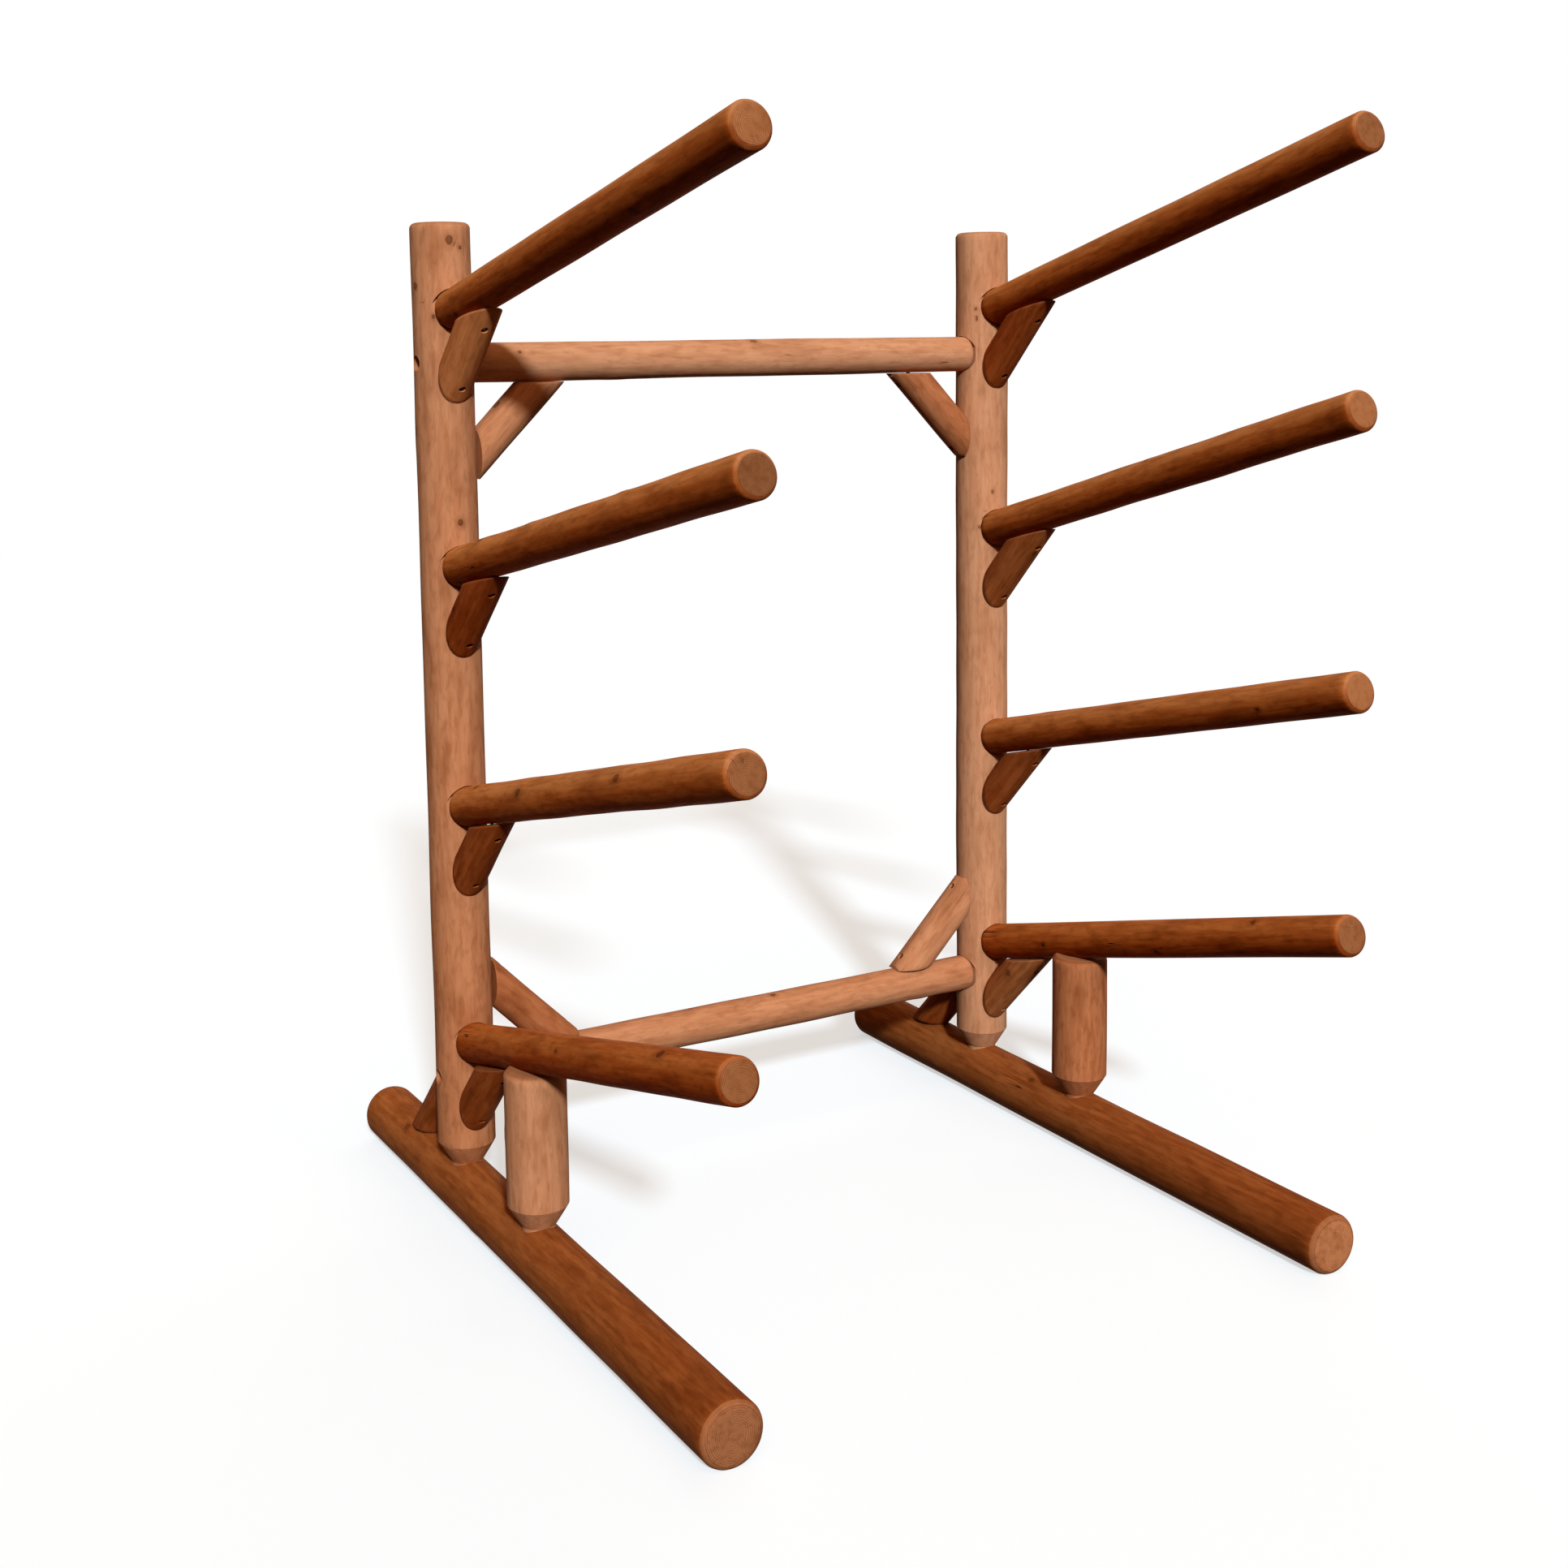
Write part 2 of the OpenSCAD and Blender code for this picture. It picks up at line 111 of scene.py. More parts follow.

# How light the logs that differ from 1 are drawn, partly the stain's own tone and partly painted
# shade and painted light where a piece lies in shade or catches more light: one value, or one at each
# end, from the foot of a post and from the rear of a base log
SIDE_TONES_AND_SHADE = {
    "post_left": (0.80, 0.93), "post_right": (1.00, 1.05),
    "base_log_left": (1.20, 0.92), "base_log_right": (1.10, 0.92),
    "short_post_left": 0.93, "short_post_right": 0.74, "top_rail": 1.02, "bottom_rail": 0.90,
    "arm_left_1": 0.82, "arm_right_1": 0.82,
    "arm_brace_left_1": 0.78, "arm_brace_left_2": 0.75, "arm_brace_left_3": 0.68,
    "arm_brace_left_4": 1.40, "arm_brace_right_2": 0.82, "arm_brace_right_3": 0.88,
    "arm_brace_right_4": 0.74, "corner_brace_top_left": 0.88, "corner_brace_top_right": 0.76,
    "corner_brace_bottom_left": 0.70, "corner_brace_bottom_right": 0.92,
    "rear_brace_left": 0.82, "rear_brace_right": 0.76,
}

# The same for the end faces, also partly painted shade and painted light
END_TONES_AND_SHADE = {
    "post_left": 1.05, "post_right": 1.05, "base_log_left": 1.02, "base_log_right": 1.42,
    "arm_left_1": 0.75, "arm_left_2": 0.73, "arm_left_3": 0.59, "arm_left_4": 0.94,
    "arm_right_1": 0.75, "arm_right_2": 0.97, "arm_right_3": 0.95, "arm_right_4": 0.75,
}

# How far an arm's tone varies at random, and how much darker its underside is drawn, as painted
# shade
ARM_TONE_SPREAD = 0.04
ARM_UNDERSIDE_SHADE = 0.6

# Knots that can be told apart: angle from the log's x in degrees, height up a post or distance
# along a rail in metres, and radius in millimetres
KNOTS = {
    "post_left": ((-95, 1.847, 6.5), (-72, 1.834, 3.0), (-169, 1.766, 5.0), (-128, 1.710, 3.0),
                  (-88, 1.336, 4.5)),
    "post_right": ((-137, 1.698, 2.4), (-139, 1.720, 2.6), (-131, 1.260, 3.0),
                   (-102, 1.335, 3.0)),
    "top_rail": ((-120, 0.138, 3.2),),
}

# Studio: half the floor's width and the lamps' distance in metres, the colour of the main lamp and
# of the light that fills the shadows, and the broad lamps' turn, height and spread in degrees
FLOOR_HALF, LAMP_DISTANCE = 14.0, 8
WHITE = (1.0, 1.0, 1.0, 1.0)
COOL = (0.90, 0.96, 0.99)
WARM = (1.0, 0.52, 0.25)
BROAD_LAMPS = (("fill", "soft_strength", (20, 48, 60), WARM),
               ("back", "back_strength", (230, 35, 60), (1.0, 0.82, 0.66)))


def degrees(*values):
    """Angles in degrees as a tuple of radians."""
    return tuple(math.radians(value) for value in values)


def node_box(node):
    """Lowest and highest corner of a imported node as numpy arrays, in metres."""
    low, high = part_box(node)
    return np.array(low), np.array(high)


# Settings

def in_mm(name, description, millimetres):
    """A length that a user can change, given in millimetres."""
    return FloatProperty(name=name, description=description, default=millimetres * MM,
                         unit="LENGTH")


def in_degrees(name, description, turn):
    """An angle that a user can change, given in degrees."""
    return FloatProperty(name=name, description=description, default=math.radians(turn),
                         unit="ROTATION")


class RackSizes(PropertyGroup):
    """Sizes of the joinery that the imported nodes' boxes don't give."""

    arm_heights: FloatVectorProperty(
        name="Arm heights", description="Height of each arm's axis at its post, lowest first",
        size=ARMS_PER_SIDE, default=(0.338, 0.793, 1.243, 1.711), unit="LENGTH")
    left_rise: FloatVectorProperty(
        name="Left rise", description="Rise of each left arm to the front, lowest first",
        size=ARMS_PER_SIDE, default=degrees(14, 13.5, 12, 12.5), unit="ROTATION")
    right_rise: FloatVectorProperty(
        name="Right rise", description="Rise of each right arm to the front, lowest first",
        size=ARMS_PER_SIDE, default=degrees(15, 13.5, 15, 14.5), unit="ROTATION")
    left_turn: FloatVectorProperty(
        name="Left turn", description="Turn of each left arm towards the middle, lowest first",
        size=ARMS_PER_SIDE, default=degrees(0, 1, 2, 2), unit="ROTATION")
    right_turn: FloatVectorProperty(
        name="Right turn", description="Turn of each right arm towards the middle, lowest first",
        size=ARMS_PER_SIDE, default=degrees(0, 0, 0, 0), unit="ROTATION")
    arm_length: in_mm("Arm length", "Post's axis to the free end of an arm", 1101)
    arm_radius: in_mm("Arm radius", "Radius of the arms", 37.5)
    brace_radius: in_mm("Brace radius", "Radius of all braces", 36.5)
    arm_brace_drop: in_mm("Arm brace drop",
                          "How far below the arm's axis its brace meets the post", 107)
    frame_brace_leg: in_mm("Frame brace leg",
                           "Corner to where a frame brace's axis meets each log", 135)
    frame_nose: in_mm("Frame nose", "Length cut off the tips of the frame braces", 9)
    arm_nose: in_mm("Arm nose", "Length cut off the tips of the arm braces", 1.2)
    seat_gap: in_mm("Seat gap", "Gap between faces that bear on each other", 0.2)
    tenon_radius: in_mm("Tenon radius", "Radius of the tenons of arms and rails", 25)
    tenon_past_axis: in_mm("Tenon past axis", "How far a tenon runs past the post's axis", 15)
    housing: in_mm("Housing", "How deep a shoulder is let into the post", 14)
    shoulder_ease: in_mm("Shoulder ease", "Rounding of the shoulders of arms and rails", 11)
    pocket_room: in_mm("Pocket room", "Room round an arm's shoulder in its pocket", 2.5)
    rail_room: in_mm("Rail room", "Room round a rail's shoulder, where swollen wood closes in", 0.5)
    pocket_drop: in_mm("Pocket drop", "How far an arm's pocket is bored below the arm's axis", 2)
    foot_tenon_radius: in_mm("Foot tenon radius", "Radius of the tenons under the posts", 30)
    foot_tenon: in_mm("Foot tenon", "Length of the tenons under the posts", 48)
    foot_shoulder: in_mm("Foot shoulder", "Width of the square shoulder above a foot's tenon", 2)
    foot_taper: in_mm("Foot taper", "Height of the cone above that shoulder", 38)
    post_top_ease: in_mm("Post top ease", "Rounding of the tops of posts and short posts", 9)
    arm_end_ease: in_mm("Arm end ease", "Rounding of the free ends of the arms", 8)
    base_end_ease: in_mm("Base end ease", "Rounding of the ends of the base logs", 12)
    lag_recess_radius: in_mm("Lag recess radius", "Radius of the recess for a lag screw's head", 15)
    lag_recess: in_mm("Lag recess", "Depth of the recess for a lag screw's head", 22)
    screw_pocket_radius: in_mm("Screw pocket radius",
                               "Radius of the drilled pockets in the braces", 7)
    screw_pocket: in_mm("Screw pocket", "Depth of the drilled pockets in the braces", 12)


class RackWood(PropertyGroup):
    """How the peeled logs vary, how their stain looks and the colours of the fasteners."""

    waviness: in_mm("Waviness", "Most that a log's radius falls below its full size", 1.6)
    knot_height: in_mm("Knot height", "How far the wood swells round a knot", 1.4)
    knot_radius: in_mm("Knot radius", "Usual radius of a knot", 5.5)
    knot_spacing: in_mm("Knot spacing", "Usual distance from one knot to the next along a log", 260)
    ring_width: in_mm("Ring width", "Width of one year's growth", 3.2)
    fibre_width: in_mm("Fibre width", "Width of the finest streaks in the grain", 1.8)
    fibre_length: in_mm("Fibre length", "Length of the finest streaks", 16)
    frame_stain: StringProperty(
        name="Frame stain", description="Light, usual, dark and end-grain stain of the posts "
        "and rails", default="#CE9873 #C48C67 #8E552F #A97049")
    # Partly the arms' own stain, partly painted shade: darker and more orange than the frame's, for
    # the shade the arms mostly lie in
    arm_stain: StringProperty(
        name="Arm stain", description="Light, usual, dark and end-grain stain of the arms",
        default="#CC854C #BD723A #7A4016 #A9724D")
    # Partly the braces' own stain, partly painted shade: darker and more orange, for the shade under
    # the arms
    brace_stain: StringProperty(
        name="Brace stain", description="Light, usual, dark and end-grain stain of the braces",
        default="#BC7646 #AB6435 #6E3713 #A86C40")
    base_stain: StringProperty(
        name="Base stain", description="Light, usual, dark and end-grain stain of the base logs",
        default="#A25F31 #904E23 #5B2A0C #AA734F")
    # The rim colour is a painted highlight on eased and sawn edges, where light catches them
    painted_rim_highlight: StringProperty(
        name="Rim colour", description="Eased and sawn edges, where the stain was wiped thin",
        default="#C28D68")
    knot_stain: StringProperty(
        name="Knot colour", description="Heart of a knot", default="#5A3016")
    check_stain: StringProperty(
        name="Check colour", description="Inside of a drying crack", default="#3A1D0B")
    zinc_colour: StringProperty(
        name="Zinc colour", description="Plating of the lag screws and washers",
        default="#8F9295")
    screw_colour: StringProperty(
        name="Screw colour", description="Coating of the brace screws", default="#5B4A3A")
    seed: IntProperty(name="Seed", description="First seed of the logs' variation", default=11)


class RackStudio(PropertyGroup):
    """The camera, the lamps and the floor."""

    lens: FloatProperty(name="Lens", description="Focal length on a 36 mm wide sensor",
                        default=45.70, unit="CAMERA")
    eye: FloatVectorProperty(
        name="Eye", description="Camera's place from the middle of the posts' feet",
        size=3, default=(-1.957, -3.459, 1.647), unit="LENGTH")
    heading: in_degrees("Heading", "Camera's turn to the right of +Y", 28.97)
    pitch: in_degrees("Pitch", "Camera's tilt, down is negative", -6.46)
    roll: in_degrees("Roll", "Camera's roll", -0.85)
    shift: FloatVectorProperty(name="Shift", description="Lens shift to the right and up",
                               size=2, default=(0.0425, -0.1345))
    floor_colour: StringProperty(name="Floor", description="Colour of the floor",
                                 default="#B7C6D1")
    floor_lift: FloatProperty(name="Floor lift", description="White that only the camera sees on "
                              "the floor, so that it fades into the background", default=0.58)
    floor_bounce: StringProperty(name="Floor bounce", description="Colour of the floor for the "
                                 "light that it throws back at the rack", default="#30261D")
    key_strength: FloatProperty(name="Key", description="Strength of the main lamp",
                                default=3.2, min=0.0)
    key_spread: in_degrees("Key spread", "Width of the main lamp in the sky", 4)
    key_height: in_degrees("Key height", "Height of the main lamp", 29.5)
    key_turn: in_degrees("Key turn", "Main lamp's turn to the left of -Y", 19)
    soft_strength: FloatProperty(name="Soft lamp", description="Strength of the broad lamp that "
                                 "fills the shadows", default=1.1, min=0.0)
    back_strength: FloatProperty(name="Back lamp", description="Strength of the broad lamp behind "
                                 "the rack, on the right", default=0.7, min=0.0)
    fill_strength: FloatProperty(name="Fill", description="Strength of the sky light straight "
                                 "above, from where it fades to none at the horizon",
                                 default=0.12, min=0.0)


# Meshes

def axes_matrix(x_axis, y_axis, z_axis, origin):
    """Matrix with these axes and this origin as its columns."""
    matrix = Matrix.Identity(4)
    for column, axis in enumerate((x_axis, y_axis, z_axis, origin)):
        for row in range(3):
            matrix[row][column] = axis[row]
    return matrix


def place_in(origin, along, across):
    """Matrix from a log's own axes to the rack: z runs along the log, x points across it."""
    z_axis = Vector(along).normalized()
    x_axis = (Vector(across) - z_axis * z_axis.dot(Vector(across))).normalized()
    return axes_matrix(x_axis, z_axis.cross(x_axis), z_axis, Vector(origin))


def moved(points, matrix):
    """Every row of an (n, 3) array carried through a matrix."""
    m = np.array(matrix)
    return points @ m[:3, :3].T + m[:3, 3]


def ring_faces(rings, around):
    """Faces that join rings of `around` points into quads, with one pole point at each end.

    Point 0 is the first pole, then come the rings one after another, then the last pole. Each quad
    takes point i and i + 1 of a ring and of the next, so faces point outwards when the rings run
    anticlockwise and climb.
    """
    i = np.arange(around)
    j = (i + 1) % around
    start = 1 + np.arange(rings - 1)[:, None] * around
    quads = np.stack((start + i, start + j, start + around + j, start + around + i), axis=-1)
    first = np.stack((np.zeros(around, int), 1 + j, 1 + i), axis=-1)
    top = 1 + (rings - 1) * around
    last = np.stack((np.full(around, top + around), top + i, top + j), axis=-1)
    return quads.reshape(-1, 4), np.concatenate((first, last))


def mesh_object(name, points, quads, triangles):
    """A mesh object from whole arrays of points, quads and triangles."""
    mesh = bpy.data.meshes.new(name)
    mesh.from_pydata(points.tolist(), [], quads.tolist() + triangles.tolist())
    mesh.update()
    piece = bpy.data.objects.new(name, mesh)
    bpy.context.scene.collection.objects.link(piece)
    return piece


def mesh_points(mesh):
    """The points of a mesh as an (n, 3) array."""
    points = np.empty(len(mesh.vertices) * 3, np.float32)
    mesh.vertices.foreach_get("co", points)
    return points.reshape(-1, 3)


def turned(name, profile, around, matrix, surface=None):
    """A turned piece: the profile, rows of radius and height, is spun about z.

    Each point is (r cos a, r sin a, z). `surface` may change r from the angle, the height and the
    row's own radius, as whole arrays.
    """
    profile = np.asarray(profile, float)
    angle = np.arange(around) * (2 * math.pi / around)
    radius = np.repeat(profile[:, :1], around, axis=1)
    height = np.repeat(profile[:, 1:], around, axis=1)
    if surface is not None:
        radius = surface(np.broadcast_to(angle, radius.shape), height, radius)
    rings = np.stack((radius * np.cos(angle), radius * np.sin(angle), height), axis=-1)
    poles = [[[0.0, 0.0, profile[0, 1]]], [[0.0, 0.0, profile[-1, 1]]]]
    points = np.concatenate((poles[0], rings.reshape(-1, 3), poles[1]))
    quads, triangles = ring_faces(len(profile), around)
    return mesh_object(name, moved(points, matrix), quads, triangles)


def eased_corner(radius, height, ease, outward, steps=5):
    """Rows that round a log's end over: an arc that meets the side and the end at a slight angle.

    The arc's centre lies EASE_CENTRE times the ease in from both faces. It starts on the side one
    ease below the end and stops on the end one ease in from the side. `outward` is 1 for the far
    end of the log and -1 for the near one.
    """
    centre = EASE_CENTRE * ease
    reach = math.hypot(centre, centre - ease)
    first = math.atan2(centre - ease, centre)
    turn = np.linspace(first, math.pi / 2 - first, steps)
    rows = np.stack((radius - centre + reach * np.cos(turn),
                     height + outward * (reach * np.sin(turn) - centre)), axis=-1)
    return rows if outward > 0 else rows[::-1]


def far_end(radius, height, ease, count=4):
    """Rows of a log's far end: the eased corner, then rings across the flat face to the middle."""
    radii = np.linspace(0, radius - ease, count + 1)[1:-1]
    face = np.stack((radii, np.full(len(radii), height)), axis=-1)
    return np.concatenate((eased_corner(radius, height, ease, 1), face[::-1]))


def near_end(radius, height, ease):
    """Rows of a log's near end, the far end's rows turned over."""
    rows = far_end(radius, 0.0, ease)[::-1]
    return rows * (1, -1) + (0, height)


def side_rows(radius, low, high, step):
    """Rows up the side of a log, about one step apart, without the two ends."""
    count = max(2, int(round((high - low) / step)))
    heights = np.linspace(low, high, count + 1)[1:-1]
    return np.stack((np.full(len(heights), radius), heights), axis=-1)


def tenon_rows(radius, shoulder):
    """Rows of an arm's or rail's near end: the tenon, then the eased shoulder."""
    s = sizes()
    return np.concatenate(([(s.tenon_radius, -s.tenon_past_axis), (s.tenon_radius, shoulder)],
                           eased_corner(radius, shoulder, s.shoulder_ease, -1)))


def foot_rows(tenon_end, radius):
    """Rows of a post's foot from its tenon's end up: tenon, narrow shoulder, then the cone."""
    s = sizes()
    seat = tenon_end + s.foot_tenon
    shoulder = s.foot_tenon_radius + s.foot_shoulder
    rise = np.linspace(0.0, 1.0, CONE_ROWS)
    cone = np.stack((shoulder + rise * (radius - shoulder), seat + rise * s.foot_taper), axis=-1)
    return np.concatenate(([(s.foot_tenon_radius, tenon_end), (s.foot_tenon_radius, seat)], cone))


def post_rows(tenon_end, radius, top, step):
    """Rows of a post or short post: foot, side and eased top."""
    s = sizes()
    side_start = tenon_end + s.foot_tenon + s.foot_taper
    return np.concatenate((foot_rows(tenon_end, radius),
                           side_rows(radius, side_start, top - s.post_top_ease, step),
                           far_end(radius, top, s.post_top_ease)))


class Knots:
    """Where the knots of one log sit: an angle, a height and a radius each.

    Knots that can be told apart come first. The rest follow one another up the log at random.
    """

    FAR, NEAR = 0.050, 0.032  # a knot's mask fades out between these distances
    FIRST, NEXT = (0.3, 0.9), (0.55, 1.5)  # distances, in usual spacings
    SIZES = (0.55, 1.35)  # in usual radii
    END_ROOM, NAMED_ROOM = 0.03, 0.11  # kept free before the far end and round the first knots
    OUT_OF_SIGHT = 10.0  # how far off the one knot of a log without any lies

    def __init__(self, radius, low, high, wood, rng, named=()):
        self.radius = radius
        rows = [(math.radians(angle), height, size * MM) for angle, height, size in named]
        height = low + wood.knot_spacing * rng.uniform(*self.FIRST)
        while height < high - self.END_ROOM:
            angle = rng.uniform(0, 2 * math.pi)
            size = wood.knot_radius * rng.uniform(*self.SIZES)
            if all(abs(height - row[1]) > self.NAMED_ROOM for row in named):
                rows.append((angle, height, size))
            height += wood.knot_spacing * rng.uniform(*self.NEXT)
        if not rows:
            rows.append((0.0, low - self.OUT_OF_SIGHT, wood.knot_radius))
        self.rows = np.array(rows, float)

    def field(self, angle, height):
        """Offset round and along the log to the nearest knot, and that knot's radius."""
        turn = angle[..., None] - self.rows[:, 0]
        turn = (turn + math.pi) % (2 * math.pi) - math.pi
        round_log = turn * self.radius
        along = height[..., None] - self.rows[:, 1]
        nearest = np.argmin(round_log ** 2 + along ** 2, axis=-1)[..., None]
        pick = [np.take_along_axis(part, nearest, -1)[..., 0] for part in (round_log, along)]
        return pick[0], pick[1], self.rows[nearest[..., 0], 2]

    def mask(self, across, along):
        """1 near a knot, falling in a straight line to 0 away from it."""
        return np.clip((self.FAR - np.hypot(across, along)) / (self.FAR - self.NEAR), 0, 1)


class LogSurface:
    """How one peeled log departs from a true cylinder.

    The radius falls by a sum of five slow waves, each the product of a cosine round the log and a
    cosine along it. It swells by a bell curve over every knot. It never passes the full radius, and
    towards the middle of an end face the change dies away as the eighth power of the radius.
    """

    WAVES, TURNS = 5, 4  # a wave goes round the log less often than TURNS
    LENGTHS, WEIGHTS = (0.16, 0.85), (0.5, 1.0)
    SWING = 1.6  # makes up for waves that cancel out
    SWELL_LENGTH, SWELL_WIDTH = 0.7, 2.6  # stretch along the log, and width in knot radii
    RIM_POWER = 8

    def __init__(self, radius, wood, rng, knots):
        self.radius = radius
        self.wood = wood
        self.knots = knots
        self.turns = rng.integers(0, self.TURNS, self.WAVES)
        self.lengths = rng.uniform(*self.LENGTHS, self.WAVES)
        self.phases = rng.uniform(0, 2 * math.pi, (2, self.WAVES))
        self.weights = rng.uniform(*self.WEIGHTS, self.WAVES)

    def __call__(self, angle, height, radius):
        wave = np.zeros(angle.shape)
        for k in range(self.WAVES):
            wave += self.weights[k] * (np.cos(self.turns[k] * angle + self.phases[0, k])
                                       * np.cos(2 * math.pi * height / self.lengths[k]
                                                + self.phases[1, k]))
        wave /= self.weights.sum()
        fall = self.wood.waviness * (0.5 - 0.5 * wave * self.SWING)
        across, along, size = self.knots.field(angle, height)
        swell = self.wood.knot_height * np.exp(-(across ** 2 + (along * self.SWELL_LENGTH) ** 2)
                                               / (self.SWELL_WIDTH * size) ** 2)
        change = np.minimum(swell - fall, 0.0)
        return radius + change * np.clip(radius / self.radius, 0.0, 1.0) ** self.RIM_POWER


def cut_with(piece, cutters):
    """Takes the cutters' volume out of a piece and deletes them."""
    for cutter in cutters:
        cut = piece.modifiers.new("Cut", "BOOLEAN")
        cut.operation = "DIFFERENCE"
        cut.solver = "EXACT"
        cut.object = cutter
    graph = bpy.context.evaluated_depsgraph_get()
    done = bpy.data.meshes.new_from_object(piece.evaluated_get(graph))
    if len(done.polygons) < FEWEST_FACES:
        raise RuntimeError(f"{piece.name} was lost in its cuts")
    old = piece.data
    piece.modifiers.clear()
    piece.data = done
    done.name = piece.name
    bpy.data.meshes.remove(old)
    for cutter in cutters:
        mesh = cutter.data
        bpy.data.objects.remove(cutter)
        bpy.data.meshes.remove(mesh)


def cut_flat(piece, planes):
    """Saws a piece flat along planes, each a point and the waste's direction, and closes it."""
    mesh = bmesh.new()
    mesh.from_mesh(piece.data)
    for point, waste in planes:
        everything = mesh.verts[:] + mesh.edges[:] + mesh.faces[:]
        result = bmesh.ops.bisect_plane(mesh, geom=everything, dist=1e-6, plane_co=point,
                                        plane_no=waste, clear_outer=True)
        rim = [edge for edge in result["geom_cut"] if isinstance(edge, bmesh.types.BMEdge)]
        if rim:
            bmesh.ops.edgeloop_fill(mesh, edges=rim)
    bmesh.ops.recalc_face_normals(mesh, faces=mesh.faces[:])
    mesh.to_mesh(piece.data)
    mesh.free()


def drill(name, radius, start, end, matrix, around=SCREW_HOLE):
    """A cutter for a round hole that runs from start to end along z."""
    return turned(name, [(radius, start), (radius, end)], around, matrix)


def write_attribute(mesh, name, kind, domain, key, values):
    """Writes whole arrays into a mesh attribute."""
    layer = mesh.attributes.new(name, kind, domain)
    layer.data.foreach_set(key, np.asarray(values, np.float32).ravel())


def finish_log(piece, node, matrix, knots, tone, seed, stain, run, mitres):
    """Gives a log its grain attributes, its material and its place in the frame.

    log_pos is the point in the log's own axes, with the pith a little off the middle and every log
    at another height of the pattern. knot holds the offset round and along the log to the nearest
    knot, that knot's radius, and a mask that fades out far from it. end_grain is 1 on a face sawn
    square across the log and 0 on its side. tone is how light the log is drawn, partly the stain's
    own tone and partly painted shade and painted light: one value, or one at each end of the log,
    and another on the end faces. coats is the thickness of the stain, 1 as usual, with painted shade
    added: a side with a tone below 1 has more, and a log's lower half has more by run, where its x
    points down, as painted shade on its underside. to_saw is the distance to the nearest mitre, or
    1 m where there is none.
    """
    rng = np.random.default_rng(seed + GRAIN_SEED)
    mesh = piece.data
    points = mesh_points(mesh)
    local = moved(points.astype(float), matrix.inverted())
    angle, z = np.arctan2(local[:, 1], local[:, 0]), local[:, 2]
    across, along, size = knots.field(angle, z)
    pith = rng.uniform(-PITH_WANDER, PITH_WANDER, 2)
    grain = local + np.array([-pith[0], -pith[1], (seed % PATTERN_HEIGHTS) * PATTERN_STEP])
    at_end = np.maximum(z - z.max(), z.min() - z) > -END_DEPTH
    # Side tone: partly the stain's own tone, partly painted shade and painted light
    side_tone = np.interp(z, (z.min(), z.max()), np.broadcast_to(tone, 2))
    coats = 1 - np.log(np.minimum(side_tone, 1.0)) / STAIN_DEPTH
    # Painted shade: the lower half, where x points down, is darkened by run
    coats += run * np.clip(UNDERSIDE_SHADE_START + np.cos(angle), 0, 1)
    to_saw = np.ones(len(points))
    for point, waste in mitres:
        inside = (np.array(point) - points) @ np.array(waste.normalized())
        to_saw = np.minimum(to_saw, inside)
    write_attribute(mesh, "log_pos", "FLOAT_VECTOR", "POINT", "vector", grain)
    write_attribute(mesh, "knot", "FLOAT_COLOR", "POINT", "color",
                    np.stack((across, along, size, knots.mask(across, along)), axis=-1))
    for name, values in (
            ("coats", np.where(at_end, 1.0, coats)),
            ("tone", np.where(at_end, END_TONES_AND_SHADE.get(node, 1.0), np.maximum(side_tone, 1.0))),
            ("to_saw", to_saw)):
        write_attribute(mesh, name, "FLOAT", "POINT", "value", values)
    normals = np.empty(len(mesh.polygons) * 3, np.float32)
    mesh.polygons.foreach_get("normal", normals)
    square = np.abs(normals.reshape(-1, 3) @ np.array(matrix)[:3, 2])
    write_attribute(mesh, "end_grain", "FLOAT", "FACE", "value",
                    np.clip((square - SQUARE_FROM) / SQUARE_FROM, 0, 1))
    mesh.shade_smooth()
    mesh.set_sharp_from_angle(angle=SHARP_ANGLE)
    mesh.materials.clear()
    mesh.materials.append(cedar(stain))
    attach(piece, "root")
    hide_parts(node)


def peeled_log(node, matrix, radius, span, profile, seed, stain, around=THIN_LOG,
               planed=(), mitres=(), drills=(), spread=0.0, run=0.0):
    """Builds one log: turned from its rows, sawn flat, bored, then stained.

    `span` is where its knots may sit and `drills` are the cutters. `planed` and `mitres` are saw
    cuts, each a point and the direction of the waste, and a painted highlight lightens the edges at
    the mitres. The tone may vary at random by `spread`, and `run` darkens the log's underside as
    painted shade.
    """
    rng = np.random.default_rng(seed)
    knots = Knots(radius, *span, wood(), rng, KNOTS.get(node, ()))
    surface = LogSurface(radius, wood(), rng, knots)
    piece = turned(node, profile, around, matrix, surface)
    if planed or mitres:
        cut_flat(piece, [*planed, *mitres])
    if drills:
        cut_with(piece, drills)
    # The log's tone from the table: partly its stain, partly painted shade and painted light
    tone = SIDE_TONES_AND_SHADE.get(node, 1.0)
    if spread:
        tone += spread * rng.uniform(-1, 1)
    finish_log(piece, node, matrix, knots, tone, seed, stain, run, mitres)
    return piece


def check_place(piece, node):
    """Stops if a piece's box leaves its node's box, because a size above no longer fits."""
    points = mesh_points(piece.data)
    low, high = node_box(node)
    drift = max(np.abs(points.min(0) - low).max(), np.abs(points.max(0) - high).max())
    if drift > MOST_DRIFT:
        raise RuntimeError(f"{node} lies {drift / MM:.1f} mm off its packed node")


# Places in the rack

def sizes():
    """The settings of the joinery."""
    return bpy.context.scene.rack_sizes


def wood():
    """The settings of the wood and its stain."""
    return bpy.context.scene.rack_wood


def seed_of(kind, side=LEFT, number=0):
    """Seed of one log, from its kind, its side and its number in the kind."""
    first, right_step = SEEDS[kind]
    return wood().seed + first + number + (0 if side == LEFT else right_step)


